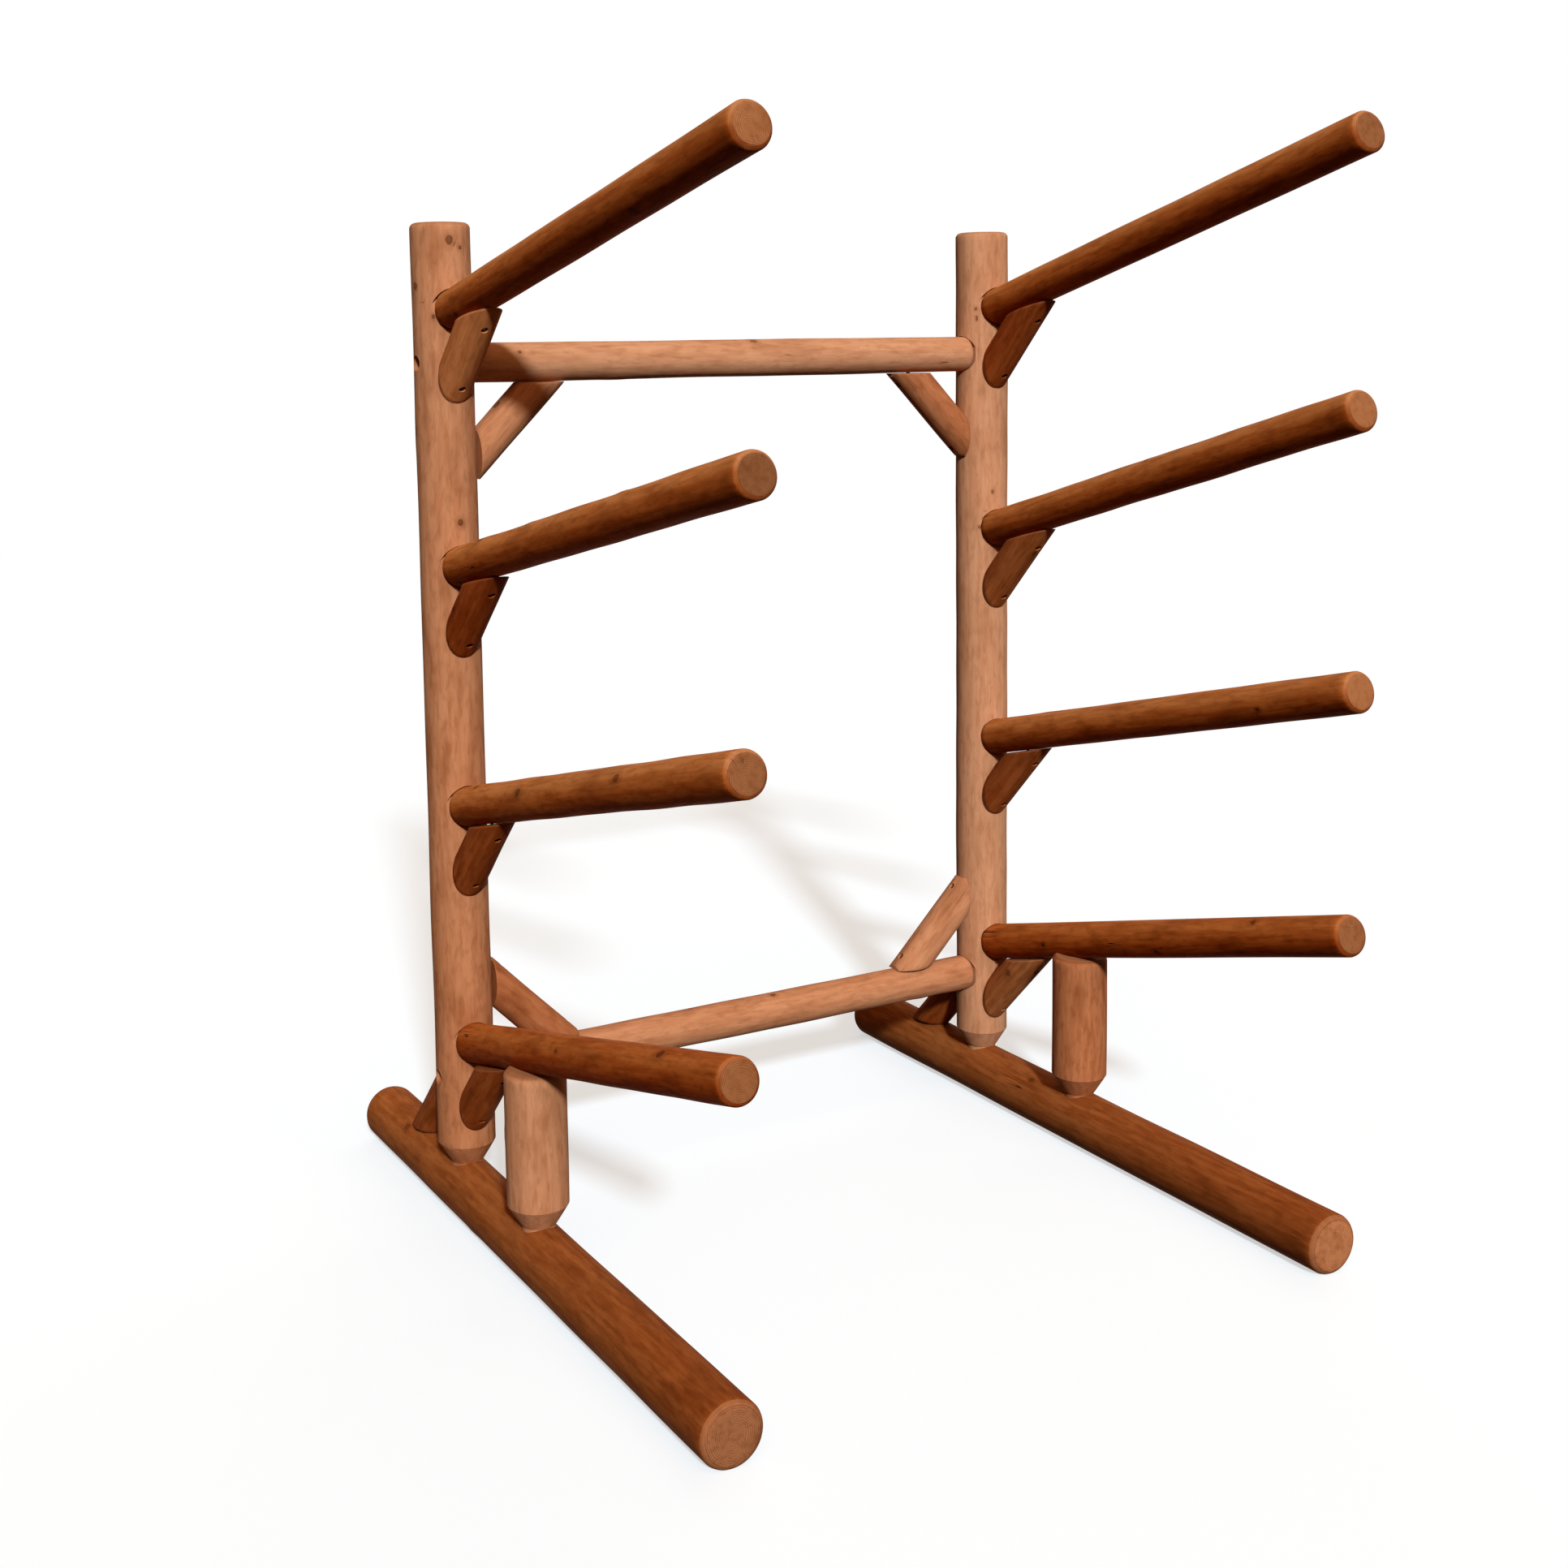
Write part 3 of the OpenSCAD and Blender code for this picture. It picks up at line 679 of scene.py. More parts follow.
def post_line(side):
    """Middle of a post's foot on the ground, its radius and the height of its top."""
    low, high = node_box(f"post_{SIDE_NAMES[side]}")
    middle = (low + high) / 2
    return Vector((middle[0], middle[1], 0.0)), (high[0] - low[0]) / 2, high[2]


def rail_line(name):
    """Height and radius of a rail."""
    low, high = node_box(name)
    return (low[2] + high[2]) / 2, (high[2] - low[2]) / 2


def base_line(side):
    """Radius, height of the axis, front end and rear end of a base log."""
    low, high = node_box(f"base_log_{SIDE_NAMES[side]}")
    radius = (high[0] - low[0]) / 2
    return radius, high[2] - radius, low[1], high[1]


def arm_rise(side, level):
    """Slope of an arm to the front."""
    return (sizes().left_rise if side == LEFT else sizes().right_rise)[level]


def arm_outward(side, level):
    """Level direction in which an arm leaves its post."""
    turn = (sizes().left_turn if side == LEFT else sizes().right_turn)[level]
    return Vector((-side * math.sin(turn), -math.cos(turn), 0.0))


def arm_matrix(side, level):
    """The arm's own axes: z leaves the post along the arm and x points to the arm's underside."""
    rise = arm_rise(side, level)
    foot, _, _ = post_line(side)
    along = arm_outward(side, level) * math.cos(rise) + UP * math.sin(rise)
    return place_in(foot + UP * sizes().arm_heights[level], along, -UP)


def rail_matrix(side, height):
    """A rail's own axes as seen from one post: z runs to the other post."""
    foot, _, _ = post_line(side)
    return place_in(foot + UP * height, Vector((-side, 0, 0)), -UP)


def shoulder_at(post_radius, rise):
    """Distance from the post's axis to the shoulder of a log that leaves it at a slope."""
    return post_radius / math.cos(rise) - sizes().housing


class BraceSeat:
    """Where a brace sits in the corner between a post and the log above it.

    In the corner's own plane, x is the distance out from the post's axis and z the height above the
    other log's axis. The brace's axis leaves the post's face `drop` below that axis at 45 degrees.
    The other log climbs at `rise`.
    """

    def __init__(self, drop, rise, beam_radius, nose, post_radius):
        self.drop, self.rise, self.beam, self.nose = drop, rise, beam_radius, nose
        self.post = post_radius

    def end_x(self, drop):
        """Distance out at which an axis with that drop meets the underside of the other log."""
        slope = math.tan(self.rise)
        return (drop + self.post - self.beam / math.cos(self.rise)) / (1 - slope)

    def run(self):
        """Length of the brace's axis."""
        return (self.end_x(self.drop) - self.post) * math.sqrt(2)

    def planes(self, radius, gap):
        """The four saw cuts, each a point and the direction of the waste, in the corner's plane."""
        low = -self.drop - radius * math.sqrt(2) + self.nose
        tip = (self.end_x(self.drop + radius * math.sqrt(2)) / math.cos(self.rise)
               - self.beam * math.tan(self.rise) - self.nose)
        along = np.array([math.cos(self.rise), math.sin(self.rise)])
        square = np.array([-math.sin(self.rise), math.cos(self.rise)])
        return [((self.post + gap, 0.0), (-1.0, 0.0)),
                ((0.0, low), (0.0, -1.0)),
                (tuple(-square * (self.beam + gap)), tuple(square)),
                (tuple(along * tip), tuple(along))]


def build_brace(node, foot, outward, up, seat, seed, stain):
    """A brace: a log sawn flat against both neighbours, with blunt tips and two drilled pockets.

    `foot` is where the axes of the post and of the other log cross, `outward` leaves the post and
    `up` points from the brace to the other log along the post. The log starts and ends three radii
    past its axis's ends, outside the saw cuts.
    """
    s = sizes()
    radius, span = s.brace_radius, seat.run()
    along, outer = (outward + up).normalized(), (outward - up).normalized()
    matrix = place_in(foot + outward * seat.post - up * seat.drop, along, outer)
    low, high = -3 * radius, span + 3 * radius
    profile = np.concatenate(([(radius, low)], side_rows(radius, low, high, BRACE_ROW),
                              [(radius, high)]))
    mitres = [(foot + outward * point[0] + up * point[1], outward * waste[0] + up * waste[1])
              for point, waste in seat.planes(radius, s.seat_gap)]
    drills = [drill(f"{node}_pocket", s.screw_pocket_radius, radius - s.screw_pocket, 2 * radius,
                    place_in(matrix @ Vector((0, 0, place)), outer, along))
              for place in (0.0, span)]
    peeled_log(node, matrix, radius, (-BRACE_KNOTS_PAST, span + BRACE_KNOTS_PAST), profile, seed,
               stain, mitres=mitres, drills=drills)


# Materials

def linear(hex_colour):
    """An sRGB hex colour as a linear colour with full alpha."""
    value = hex_colour.lstrip("#")
    channels = [int(value[i:i + 2], 16) / 255 for i in (0, 2, 4)]
    return tuple(c / 12.92 if c <= 0.04045 else ((c + 0.055) / 1.055) ** 2.4
                 for c in channels) + (1.0,)


def add(tree, kind, inputs=None, out=0, **settings):
    """Adds a shader node and gives back one of its outputs.

    `inputs` maps an input's name or number to the socket that feeds it or to its own value.
    """
    node = tree.nodes.new("ShaderNode" + kind)
    for key, value in settings.items():
        setattr(node, key, value)
    for key, value in (inputs or {}).items():
        if isinstance(value, bpy.types.NodeSocket):
            tree.links.new(value, node.inputs[key])
        else:
            node.inputs[key].default_value = value
    return node.outputs[out] if len(node.outputs) else node


def new_material(name):
    """An empty node material."""
    material = bpy.data.materials.new(name)
    material.use_nodes = True
    material.node_tree.nodes.clear()
    return material, material.node_tree


def stained_cedar(name, stains, w):
    """Northern white cedar log, peeled, drawknifed round and brushed with semi-transparent stain.

    What that gives the eye: faint fibres and slow streaks along the log, blotches where the wood
    drank more stain, dark knots with a halo, a few hairline drying checks, painted highlights on the
    rims where the ends are eased or sawn, and growth rings on every sawn face. The rings are the
    distance from the pith, so a mitre cuts them at its own angle. Real fibres are some hundredths of
    a
    millimetre wide: they are drawn as coarse as the render can show, and so are the rings.
    """
    material, tree = new_material(name)
    grain, tone, coats, end, to_saw, offsets, near = (
        add(tree, "Attribute", out=out, attribute_name=attribute)
        for attribute, out in (("log_pos", "Vector"), ("tone", "Fac"), ("coats", "Fac"),
                               ("end_grain", "Fac"), ("to_saw", "Fac"), ("knot", "Color"),
                               ("knot", "Alpha")))
    side = add(tree, "Math", {0: 1.0, 1: end}, operation="SUBTRACT")
    x, y, z = (add(tree, "SeparateXYZ", {"Vector": grain}, out=axis) for axis in "XYZ")

    # Noise drawn out along the log: size across and along it, then detail, roughness, distortion
    noise = {}
    for key, wide, long, detail, roughness, distortion in (
            ("fibres", w.fibre_width, w.fibre_length, 3.0, 0.6, 0.0),
            ("streaks", 11 * MM, 130 * MM, 3.0, 0.55, 0.25),
            ("blotches", 38 * MM, 120 * MM, 2.0, 0.5, 0.0),
            ("mottle", 10 * MM, 30 * MM, 3.0, 0.5, 0.4),
            ("bends", 28 * MM, 240 * MM, 2.0, 0.5, 0.0),
            ("hairlines", 11 * MM, 420 * MM, 1.0, 0.4, 0.0),
            ("patches", 55 * MM, 160 * MM, 1.0, 0.5, 0.0)):
        drawn_out = add(tree, "Mapping", {"Vector": grain,
                                          "Scale": (1 / wide, 1 / wide, 1 / long)})
        noise[key] = add(tree, "TexNoise", {"Vector": drawn_out, "Scale": 1.0, "Detail": detail,
                                            "Roughness": roughness, "Distortion": distortion})

    # Painted highlight on the rims: the slope between side and end face, and the last millimetres
    # before a saw cut
    slope = add(tree, "Math", {0: end, 1: side}, operation="MULTIPLY")
    slope = add(tree, "Math", {0: slope, 1: 4.0}, operation="MULTIPLY")
    edge = add(tree, "MapRange", {"Value": to_saw, "From Min": 0.5 * MM, "From Max": 3.5 * MM,
                                  "To Min": 1.0, "To Max": 0.0})
    edge = add(tree, "Math", {0: edge, 1: side}, operation="MULTIPLY")
    rim = add(tree, "Math", {0: slope, 1: edge}, operation="MAXIMUM")

    # Knots: distance in knot radii, a little ragged, then the heart, its bark ring and a halo
    across, along, knot_size = (add(tree, "SeparateColor", {"Color": offsets}, out=channel)
                                for channel in ("Red", "Green", "Blue"))
    squashed = add(tree, "Math", {0: along, 1: 0.78}, operation="MULTIPLY")
    across_2 = add(tree, "Math", {0: across, 1: across}, operation="MULTIPLY")
    along_2 = add(tree, "Math", {0: squashed, 1: squashed}, operation="MULTIPLY")
    away = add(tree, "Math", {0: across_2, 1: along_2}, operation="ADD")
    away = add(tree, "Math", {0: away}, operation="SQRT")
    away = add(tree, "Math", {0: away, 1: knot_size}, operation="DIVIDE")
    ragged = add(tree, "TexNoise", {"Vector": grain, "Scale": 1 / (7 * MM), "Detail": 2.0})
    ragged = add(tree, "MapRange", {"Value": ragged, "To Min": -0.45, "To Max": 0.45})
    away = add(tree, "Math", {0: away, 1: ragged}, operation="ADD")
    heart, bark, halo = (
        add(tree, "MapRange", {"Value": away, "From Min": first, "From Max": last,
                               "To Min": inside, "To Max": 1.0 - inside},
            interpolation_type="SMOOTHSTEP")
        for first, last, inside in ((0.75, 1.25, 1.0), (0.55, 0.95, 0.0), (0.9, 3.4, 1.0)))
    heart = add(tree, "Math", {0: heart, 1: near}, operation="MULTIPLY")
    bark = add(tree, "Math", {0: bark, 1: heart}, operation="MULTIPLY")
    halo = add(tree, "Math", {0: halo, 1: near}, operation="MULTIPLY")

    # Growth rings: distance from the pith, bent by slow noise and swept round the knots
    flat = add(tree, "CombineXYZ", {"X": x, "Y": y})
    pith = add(tree, "VectorMath", {0: flat}, out="Value", operation="LENGTH")
    bend = add(tree, "MapRange", {"Value": noise["bends"], "To Min": -4.5 * MM,
                                  "To Max": 4.5 * MM})
    swept = add(tree, "Math", {0: pith, 1: bend}, operation="ADD")
    swirl = add(tree, "Math", {0: halo, 1: 5 * MM}, operation="MULTIPLY")
    swept = add(tree, "Math", {0: swept, 1: swirl}, operation="ADD")
    year = add(tree, "Math", {0: swept, 1: w.ring_width}, operation="DIVIDE")
    year = add(tree, "Math", {0: year}, operation="FRACT")
    late = add(tree, "MapRange", {"Value": year, "From Min": 0.35, "From Max": 0.92},
               interpolation_type="SMOOTHSTEP")
    stop = add(tree, "MapRange", {"Value": year, "From Min": 0.93, "From Max": 1.0,
                                  "To Min": 1.0, "To Max": 0.0})
    late = add(tree, "Math", {0: late, 1: stop}, operation="MULTIPLY")

    # Drying checks: hairlines where slow noise crosses its middle, along the grain on a side and
    # out from the pith on a sawn end, and only in some patches
    spoke = add(tree, "VectorMath", {0: flat}, operation="NORMALIZE")
    level = add(tree, "CombineXYZ", {"Z": z})
    spoke = add(tree, "VectorMath", {0: spoke, 1: level}, operation="ADD")
    spoke = add(tree, "TexNoise", {"Vector": spoke, "Scale": 1.9, "Detail": 1.0,
                                   "Roughness": 0.4})
    lines = []
    for crossing, core, faded, face in ((noise["hairlines"], 0.004, 0.012, side),
                                        (spoke, 0.003, 0.010, end)):
        line = add(tree, "Math", {0: crossing, 1: 0.5}, operation="SUBTRACT")
        line = add(tree, "Math", {0: line}, operation="ABSOLUTE")
        line = add(tree, "MapRange", {"Value": line, "From Min": core, "From Max": faded,
                                      "To Min": 1.0, "To Max": 0.0},
                   interpolation_type="SMOOTHSTEP")
        lines.append(add(tree, "Math", {0: line, 1: face}, operation="MULTIPLY"))
    outer = add(tree, "MapRange", {"Value": pith, "From Min": 9 * MM, "From Max": 14 * MM})
    spokes = add(tree, "Math", {0: lines[1], 1: outer}, operation="MULTIPLY")
    checks = add(tree, "Math", {0: lines[0], 1: spokes}, operation="MAXIMUM")
    patch = add(tree, "MapRange", {"Value": noise["patches"], "From Min": 0.67,
                                   "From Max": 0.75}, interpolation_type="SMOOTHSTEP")
    checks = add(tree, "Math", {0: checks, 1: patch}, operation="MULTIPLY")

    # Stain, layer over layer: where each noise starts, is full, and its share of the colour
    share = {key: add(tree, "MapRange", {"Value": noise[key], "From Min": start,
                                         "From Max": full, "To Max": most},
                      interpolation_type="SMOOTHSTEP")
             for key, start, full, most in (("streaks", 0.36, 0.66, 1.0),
                                            ("blotches", 0.46, 0.74, 0.34),
                                            ("mottle", 0.44, 0.70, 0.26),
                                            ("fibres", 0.42, 0.72, 0.12))}
    # The rim's share is a painted highlight on the eased and sawn edges
    sawn_share, rim_highlight_share, halo_share, heart_share, bark_share = (
        add(tree, "Math", {0: source, 1: most}, operation="MULTIPLY")
        for source, most in ((end, 0.8), (rim, 0.4), (halo, 0.34), (heart, 0.60), (bark, 0.40)))
    ring_share = add(tree, "MapRange", {"Value": end, "To Min": 0.05, "To Max": 0.50})
    ring_share = add(tree, "Math", {0: late, 1: ring_share}, operation="MULTIPLY")
    crack_share = add(tree, "Math", {0: bark_share, 1: checks}, operation="MAXIMUM")
    stain, usual, dark, sawn = (linear(colour) for colour in stains.split())
    for factor, colour in ((share["streaks"], usual), (sawn_share, sawn),
                           (share["blotches"], dark), (share["mottle"], dark),
                           (ring_share, dark), (share["fibres"], dark),
                           (rim_highlight_share, linear(w.painted_rim_highlight)), (halo_share, dark),
                           (heart_share, linear(w.knot_stain)),
                           (crack_share, linear(w.check_stain))):
        stain = add(tree, "Mix", {"Factor": factor, "A": stain, "B": colour}, out="Result",
                    data_type="RGBA")
    # Coats and tone: the stain's own tone plus painted shade and painted light, as set per log
    stain = add(tree, "Gamma", {"Color": stain, "Gamma": coats})
    stain = add(tree, "HueSaturation", {"Color": stain, "Value": tone})

    # Relief in metres: fibres and streaks stand up; sawn edges, late wood, checks and bark sink
    relief = 0.0
    for source, height in ((noise["fibres"], 0.12 * MM), (noise["streaks"], 0.5 * MM),
                           (edge, -1.5 * MM), (late, -0.10 * MM), (checks, -1.2 * MM),
                           (bark, -0.5 * MM)):
        relief = add(tree, "Math", {0: source, 1: height, 2: relief}, operation="MULTIPLY_ADD")
    bump = add(tree, "Bump", {"Height": relief, "Strength": 0.7, "Distance": 1.0})
    rough = add(tree, "MapRange", {"Value": noise["streaks"], "To Min": 0.52, "To Max": 0.70})
    surface = add(tree, "BsdfPrincipled", {"Base Color": stain, "Normal": bump,
                                           "Roughness": rough, "IOR": 1.5,
                                           "Specular IOR Level": 0.01})
    add(tree, "OutputMaterial", {"Surface": surface})
    return material


def plated_steel(name, colour):
    """Carbon steel with an electroplated coat: bright, slightly cloudy and finely scratched.

    The scratches are drawn 0.8 mm wide, as coarse as the render can show.
    """
    material, tree = new_material(name)
    place = add(tree, "TexCoord", out="Object")
    cloud = add(tree, "TexNoise", {"Vector": place, "Scale": 1 / (6 * MM), "Detail": 3.0})
    scratch = add(tree, "TexNoise", {"Vector": place, "Scale": 1 / (0.8 * MM), "Detail": 2.0})
    bright = linear(colour)
    dull = tuple(0.72 * channel for channel in bright[:3]) + (1.0,)
    coat = add(tree, "Mix", {"Factor": cloud, "A": bright, "B": dull}, out="Result",
               data_type="RGBA")
    rough = add(tree, "MapRange", {"Value": cloud, "To Min": 0.38, "To Max": 0.58})
    bump = add(tree, "Bump", {"Height": scratch, "Strength": 0.25, "Distance": 0.05 * MM})
    surface = add(tree, "BsdfPrincipled", {"Base Color": coat, "Normal": bump,
                                           "Roughness": rough, "Metallic": 1.0})
    add(tree, "OutputMaterial", {"Surface": surface})
    return material


def material_named(name, make, *arguments):
    """The material of that name, made once."""
    return bpy.data.materials.get(name) or make(name, *arguments)


def cedar(part):
    """The stained cedar of the frame, the arms, the braces or the base."""
    return material_named(f"Peeled cedar log with stain, {part}", stained_cedar,
                          getattr(wood(), f"{part}_stain"), wood())


# Operators

class RACK_OT_posts(Operator):
    """Builds both posts with their pockets, bores and lag recesses."""

    bl_idname = "rack.posts"
    bl_label = "Posts"

    def execute(self, context):
        s = sizes()
        for side in (LEFT, RIGHT):
            node = f"post_{SIDE_NAMES[side]}"
            foot, radius, top = post_line(side)
            low, _ = node_box(node)
            drills = []
            for level in range(ARMS_PER_SIDE):
                drills += self.socket(arm_matrix(side, level), radius, arm_rise(side, level),
                                      s.arm_radius + s.pocket_room, s.pocket_drop)
            for rail in ("top_rail", "bottom_rail"):
                height, rail_radius = rail_line(rail)
                drills += self.socket(rail_matrix(side, height), radius, 0.0,
                                      rail_radius + s.rail_room, 0.0)
            peeled_log(node, place_in(foot, UP, (1, 0, 0)), radius, (low[2] + s.foot_tenon, top),
                       post_rows(low[2], radius, top, ROW), seed_of("post", side), "frame",
                       THICK_LOG, drills=drills)
        return {"FINISHED"}

    @staticmethod
    def socket(matrix, post_radius, rise, pocket_radius, drop):
        """Cutters for a tenoned log: the bore, the pocket round its shoulder and the lag recess."""
        s = sizes()
        seat = shoulder_at(post_radius, rise)
        recess = post_radius / math.cos(rise) - s.lag_recess
        lower = matrix @ Matrix.Translation((drop, 0, 0))
        return [drill("bore", s.tenon_radius, -s.tenon_past_axis - BORE_PAST_TENON,
                      seat + BORE_IN_POCKET, matrix),
                drill("pocket", pocket_radius, seat, 2 * post_radius, lower, ARM_POCKET),
                drill("lag_recess", s.lag_recess_radius, -2 * post_radius, -recess, matrix)]


class RACK_OT_base_logs(Operator):
    """Builds both base logs with their flat undersides, foot bores and lag recesses."""

    bl_idname = "rack.base_logs"
    bl_label = "Base logs"

    def execute(self, context):
        s = sizes()
        for side in (LEFT, RIGHT):
            name = SIDE_NAMES[side]
            foot, _, _ = post_line(side)
            radius, axis_height, front, rear = base_line(side)
            low, high = foot.y - rear, foot.y - front
            ease = s.base_end_ease
            profile = np.concatenate((near_end(radius, low, ease),
                                      side_rows(radius, low + ease, high - ease, ROW),
                                      far_end(radius, high, ease)))
            short_low, short_high = node_box(f"short_post_{name}")
            drills = []
            for y in (foot.y, (short_low[1] + short_high[1]) / 2):
                place = place_in((foot.x, y, 0), UP, (1, 0, 0))
                drills += [drill("foot_bore", s.foot_tenon_radius + s.seat_gap,
                                 short_low[2] - s.seat_gap, 3 * radius, place, FOOT_BORE),
                           drill("lag_recess", s.lag_recess_radius, -radius, s.lag_recess, place)]
            peeled_log(f"base_log_{name}",
                       place_in((foot.x, foot.y, axis_height), -BACK, (1, 0, 0)), radius,
                       (low, high), profile, seed_of("base_log", side), "base", THICK_LOG,
                       planed=[(Vector((0, 0, 0)), -UP)], drills=drills)
        return {"FINISHED"}


class RACK_OT_short_posts(Operator):
    """Builds the short posts, each with a saddle for the lowest arm."""

    bl_idname = "rack.short_posts"
    bl_label = "Short posts"

    def execute(self, context):
        s = sizes()
        for side in (LEFT, RIGHT):
            node = f"short_post_{SIDE_NAMES[side]}"
            low, high = node_box(node)
            radius, top = (high[0] - low[0]) / 2, high[2]
            matrix = place_in(((low[0] + high[0]) / 2, (low[1] + high[1]) / 2, 0), UP, (1, 0, 0))
            arm = drill("saddle", s.arm_radius + s.seat_gap, *SADDLE_SPAN, arm_matrix(side, 0),
                        SADDLE)
            peeled_log(node, matrix, radius, (low[2] + s.foot_tenon, top),
                       post_rows(low[2], radius, top, SHORT_ROW), seed_of("short_post", side),
                       "frame", THICK_LOG, drills=[arm])
        return {"FINISHED"}


class RACK_OT_rails(Operator):
    """Builds the top and the bottom rail with a shouldered tenon at each end."""

    bl_idname = "rack.rails"
    bl_label = "Rails"

    def execute(self, context):
        s = sizes()
        left, post_radius, _ = post_line(LEFT)
        right, _, _ = post_line(RIGHT)
        span, ease = right.x - left.x, s.shoulder_ease
        near = shoulder_at(post_radius, 0.0) + s.seat_gap
        far = span - near
        for number, node in enumerate(("top_rail", "bottom_rail")):
            height, radius = rail_line(node)
            profile = np.concatenate((
                tenon_rows(radius, near),
                side_rows(radius, near + ease, far - ease, ROW),
                eased_corner(radius, far, ease, 1),
                [(s.tenon_radius, far), (s.tenon_radius, span + s.tenon_past_axis)]))
            peeled_log(node, rail_matrix(LEFT, height), radius, (near, far), profile,
                       seed_of("rail", number=number), "frame")
        return {"FINISHED"}


class RACK_OT_arms(Operator):
    """Builds all arms, each with a shouldered tenon in its post."""

    bl_idname = "rack.arms"
    bl_label = "Arms"

    def execute(self, context):
        s = sizes()
        radius, length = s.arm_radius, s.arm_length
        for side in (LEFT, RIGHT):
            _, post_radius, _ = post_line(side)
            for level in range(ARMS_PER_SIDE):
                node = f"arm_{SIDE_NAMES[side]}_{level + 1}"
                near = shoulder_at(post_radius, arm_rise(side, level)) + s.seat_gap
                profile = np.concatenate((
                    tenon_rows(radius, near),
                    side_rows(radius, near + s.shoulder_ease, length - s.arm_end_ease, ROW),
                    far_end(radius, length, s.arm_end_ease)))
                piece = peeled_log(node, arm_matrix(side, level), radius, (near, length), profile,
                                   seed_of("arm", side, level), "arm", spread=ARM_TONE_SPREAD,
                                   run=ARM_UNDERSIDE_SHADE)
                check_place(piece, node)
        return {"FINISHED"}


class RACK_OT_arm_braces(Operator):
    """Builds the brace under each arm."""

    bl_idname = "rack.arm_braces"
    bl_label = "Arm braces"

    def execute(self, context):
        s = sizes()
        for side in (LEFT, RIGHT):
            foot, post_radius, _ = post_line(side)
            for level in range(ARMS_PER_SIDE):
                seat = BraceSeat(s.arm_brace_drop, arm_rise(side, level), s.arm_radius,
                                 s.arm_nose, post_radius)
                build_brace(f"arm_brace_{SIDE_NAMES[side]}_{level + 1}",
                            foot + UP * s.arm_heights[level], arm_outward(side, level), UP, seat,
                            seed_of("arm_brace", side, level), "brace")
        return {"FINISHED"}


class RACK_OT_frame_braces(Operator):
    """Builds the corner braces between posts and rails and the rear braces on the base logs."""

    bl_idname = "rack.frame_braces"
    bl_label = "Frame braces"

    def execute(self, context):
        s = sizes()
        for side in (LEFT, RIGHT):
            name = SIDE_NAMES[side]
            foot, post_radius, _ = post_line(side)
            inward = Vector((-side, 0, 0))
            base_radius, base_axis, _, _ = base_line(side)
            top, rail_radius = rail_line("top_rail")
            bottom, _ = rail_line("bottom_rail")
            corners = (
                (f"corner_brace_top_{name}", top, inward, UP, rail_radius, "frame"),
                (f"corner_brace_bottom_{name}", bottom, inward, -UP, rail_radius, "frame"),
                (f"rear_brace_{name}", base_axis, BACK, -UP, base_radius, "brace"))
            for number, (node, height, outward, up, beam, stain) in enumerate(corners):
                seat = BraceSeat(beam + s.frame_brace_leg, 0.0, beam, s.frame_nose, post_radius)
                build_brace(node, foot + UP * height, outward, up, seat,
                            seed_of("frame_brace", side, number), stain)
        return {"FINISHED"}


class RACK_OT_fasteners(Operator):
    """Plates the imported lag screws, washers and brace screws."""

    bl_idname = "rack.fasteners"
    bl_label = "Fasteners"

    def execute(self, context):
        zinc = material_named("Zinc-plated steel", plated_steel, wood().zinc_colour)
        bronze = material_named("Bronze-coated deck screw steel", plated_steel,
                                wood().screw_colour)
        for node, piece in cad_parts.items():
            if node.endswith(("screws", "washers")):
                piece.data.materials.clear()
                piece.data.materials.append(bronze if node.endswith("brace_screws") else zinc)
        return {"FINISHED"}


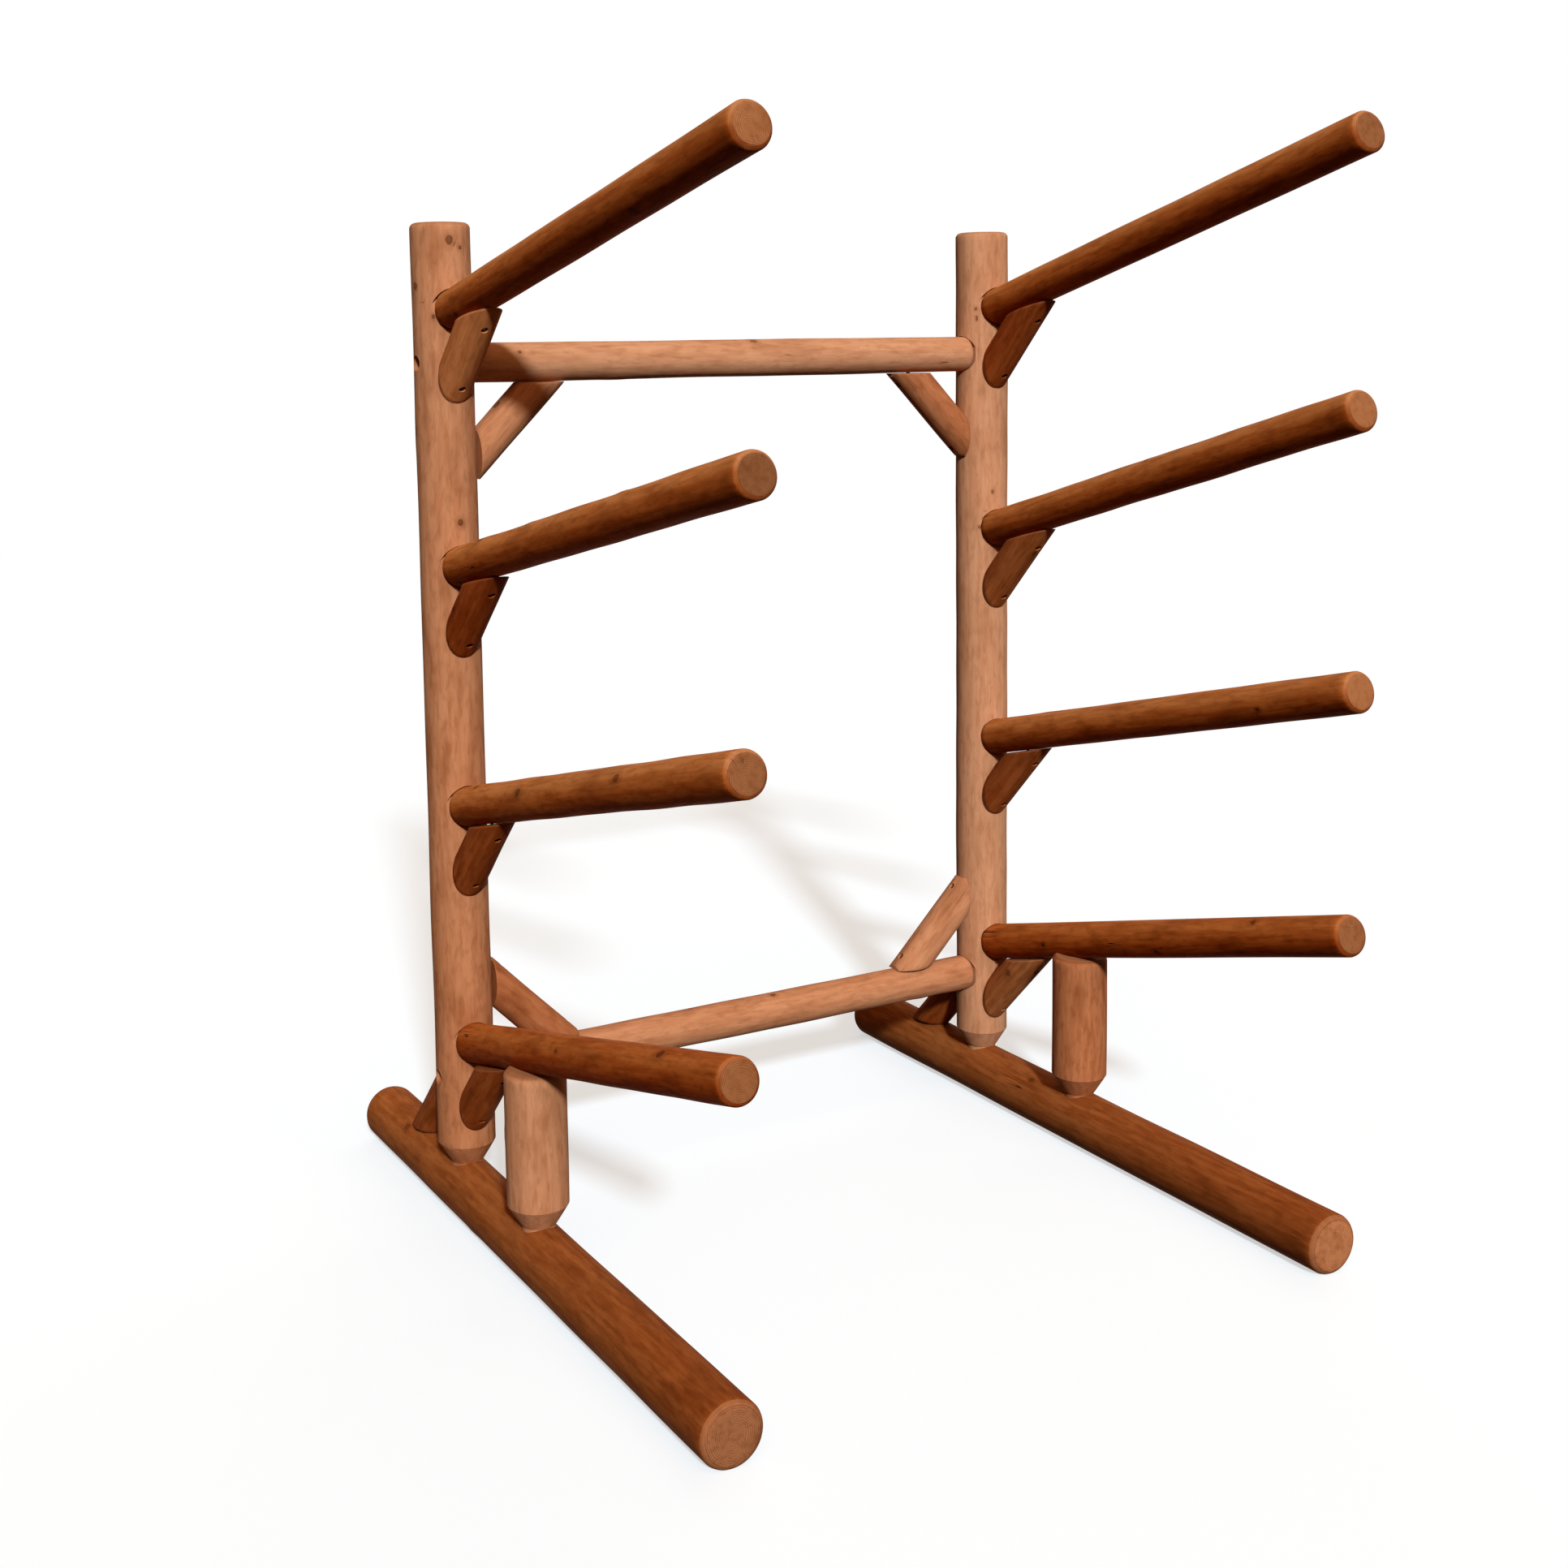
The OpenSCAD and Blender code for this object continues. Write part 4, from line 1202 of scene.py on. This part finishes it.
class RACK_OT_studio(Operator):
    """Sets the floor, the lamps, the sky and the camera."""

    bl_idname = "rack.studio"
    bl_label = "Studio"

    def execute(self, context):
        studio = context.scene.rack_studio
        self.floor(studio)
        self.lamps(studio)
        self.sky(studio)
        self.camera(context, studio)
        context.scene.view_settings.view_transform = "Standard"
        return {"FINISHED"}

    def floor(self, studio):
        """A level square, wide enough for its edge to stay out of view."""
        corner = np.array([[-1, -1, 0], [1, -1, 0], [1, 1, 0], [-1, 1, 0]], float) * FLOOR_HALF
        piece = mesh_object("floor", corner, np.array([[0, 1, 2, 3]]), np.zeros((0, 3), int))
        material, tree = new_material("Matt studio floor")
        seen = self.seen_directly(tree)
        colour = add(tree, "Mix", {"Factor": seen, "A": linear(studio.floor_bounce),
                                   "B": linear(studio.floor_colour)}, out="Result",
                     data_type="RGBA")
        paint = add(tree, "BsdfDiffuse", {"Color": colour})
        lift = add(tree, "Math", {0: seen, 1: studio.floor_lift}, operation="MULTIPLY")
        lift = add(tree, "Emission", {"Color": WHITE, "Strength": lift})
        both = add(tree, "AddShader", {0: paint, 1: lift})
        add(tree, "OutputMaterial", {"Surface": both})
        piece.data.materials.append(material)

    @staticmethod
    def seen_directly(tree):
        """1 for what the camera, a mirror or glass sees, 0 for light on its way to a surface."""
        camera, mirror, glass = (add(tree, "LightPath", out=f"Is {ray} Ray")
                                 for ray in ("Camera", "Glossy", "Transmission"))
        seen = add(tree, "Math", {0: camera, 1: mirror}, operation="MAXIMUM")
        return add(tree, "Math", {0: seen, 1: glass}, operation="MAXIMUM")

    def lamps(self, studio):
        """A main lamp as far away as the sun, and broad weak ones high in front and behind."""
        self.lamp("key", (studio.key_turn, studio.key_height, studio.key_spread),
                  studio.key_strength, COOL)
        for name, strength, place, colour in BROAD_LAMPS:
            self.lamp(name, degrees(*place), getattr(studio, strength), colour)

    @staticmethod
    def lamp(name, place, strength, colour):
        """A far lamp, turned to the left of -Y, raised above the ground and spread out."""
        turn, height, spread = place
        data = bpy.data.lights.new(name, "SUN")
        data.energy, data.angle, data.color = strength, spread, colour
        lamp = bpy.data.objects.new(name, data)
        towards = Vector((math.sin(turn) * math.cos(height), math.cos(turn) * math.cos(height),
                          -math.sin(height)))
        lamp.rotation_euler = towards.to_track_quat("-Z", "Y").to_euler()
        lamp.location = -towards * LAMP_DISTANCE
        bpy.context.scene.collection.objects.link(lamp)

    def sky(self, studio):
        """White to the camera and in reflections, and a soft fill from above for the rest."""
        world = bpy.data.worlds.new("Pale sky")
        bpy.context.scene.world = world
        world.use_nodes = True
        tree = world.node_tree
        tree.nodes.clear()
        seen = self.seen_directly(tree)
        way = add(tree, "TexCoord", out="Generated")
        height = add(tree, "SeparateXYZ", {"Vector": way}, out="Z")
        for operation, value in (("MAXIMUM", 0.0), ("POWER", 2.0),
                                 ("MULTIPLY", studio.fill_strength)):
            height = add(tree, "Math", {0: height, 1: value}, operation=operation)
        fill = add(tree, "Background", {"Color": WARM + (1.0,), "Strength": height})
        white = add(tree, "Background", {"Color": WHITE, "Strength": 1.0})
        sky = add(tree, "MixShader", {0: seen, 1: fill, 2: white})
        add(tree, "OutputWorld", {"Surface": sky})

    def camera(self, context, studio):
        """Looks from the left front, from about 4 m away."""
        camera = bpy.data.cameras.new("camera")
        camera.sensor_width = 36.0
        camera.lens = studio.lens
        camera.shift_x, camera.shift_y = studio.shift
        camera.clip_end = 60.0
        holder = bpy.data.objects.new("camera", camera)
        left, _, _ = post_line(LEFT)
        right, _, _ = post_line(RIGHT)
        sin_h, cos_h = math.sin(studio.heading), math.cos(studio.heading)
        sin_p, cos_p = math.sin(studio.pitch), math.cos(studio.pitch)
        forward = Vector((sin_h * cos_p, cos_h * cos_p, sin_p))
        right_hand = Vector((cos_h, -sin_h, 0.0))
        upward = right_hand.cross(forward)
        sin_r, cos_r = math.sin(studio.roll), math.cos(studio.roll)
        holder.matrix_world = axes_matrix(right_hand * cos_r + upward * sin_r,
                                          upward * cos_r - right_hand * sin_r, -forward,
                                          (left + right) / 2 + Vector(studio.eye))
        context.scene.collection.objects.link(holder)
        context.scene.camera = holder


GROUPS = {"rack_sizes": RackSizes, "rack_wood": RackWood, "rack_studio": RackStudio}
OPERATORS = (RACK_OT_posts, RACK_OT_base_logs, RACK_OT_short_posts, RACK_OT_rails, RACK_OT_arms,
             RACK_OT_arm_braces, RACK_OT_frame_braces, RACK_OT_fasteners, RACK_OT_studio)


class RACK_PT_panel(Panel):
    """Lists the rack's pieces and settings in the sidebar."""

    bl_idname = "RACK_PT_panel"
    bl_label = "Log rack"
    bl_space_type = "VIEW_3D"
    bl_region_type = "UI"
    bl_category = "Rack"

    def draw(self, context):
        for name in GROUPS:
            group = getattr(context.scene, name)
            box = self.layout.box()
            for key in group.bl_rna.properties.keys():
                if key not in ("rna_type", "name"):
                    box.prop(group, key)
        for operator in OPERATORS:
            self.layout.operator(operator.bl_idname)


CLASSES = (*GROUPS.values(), *OPERATORS, RACK_PT_panel)


def register():
    """Adds the settings, the operators and the panel."""
    for cls in CLASSES:
        bpy.utils.register_class(cls)
    for name, group in GROUPS.items():
        setattr(bpy.types.Scene, name, PointerProperty(type=group))


def unregister():
    """Takes the settings, the operators and the panel out again."""
    for name in GROUPS:
        delattr(bpy.types.Scene, name)
    for cls in reversed(CLASSES):
        bpy.utils.unregister_class(cls)


def main():
    """Builds every piece in order."""
    register()
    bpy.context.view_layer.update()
    for operator in OPERATORS:
        getattr(bpy.ops.rack, operator.bl_idname.partition(".")[2])()


if __name__ == "__main__":
    main()
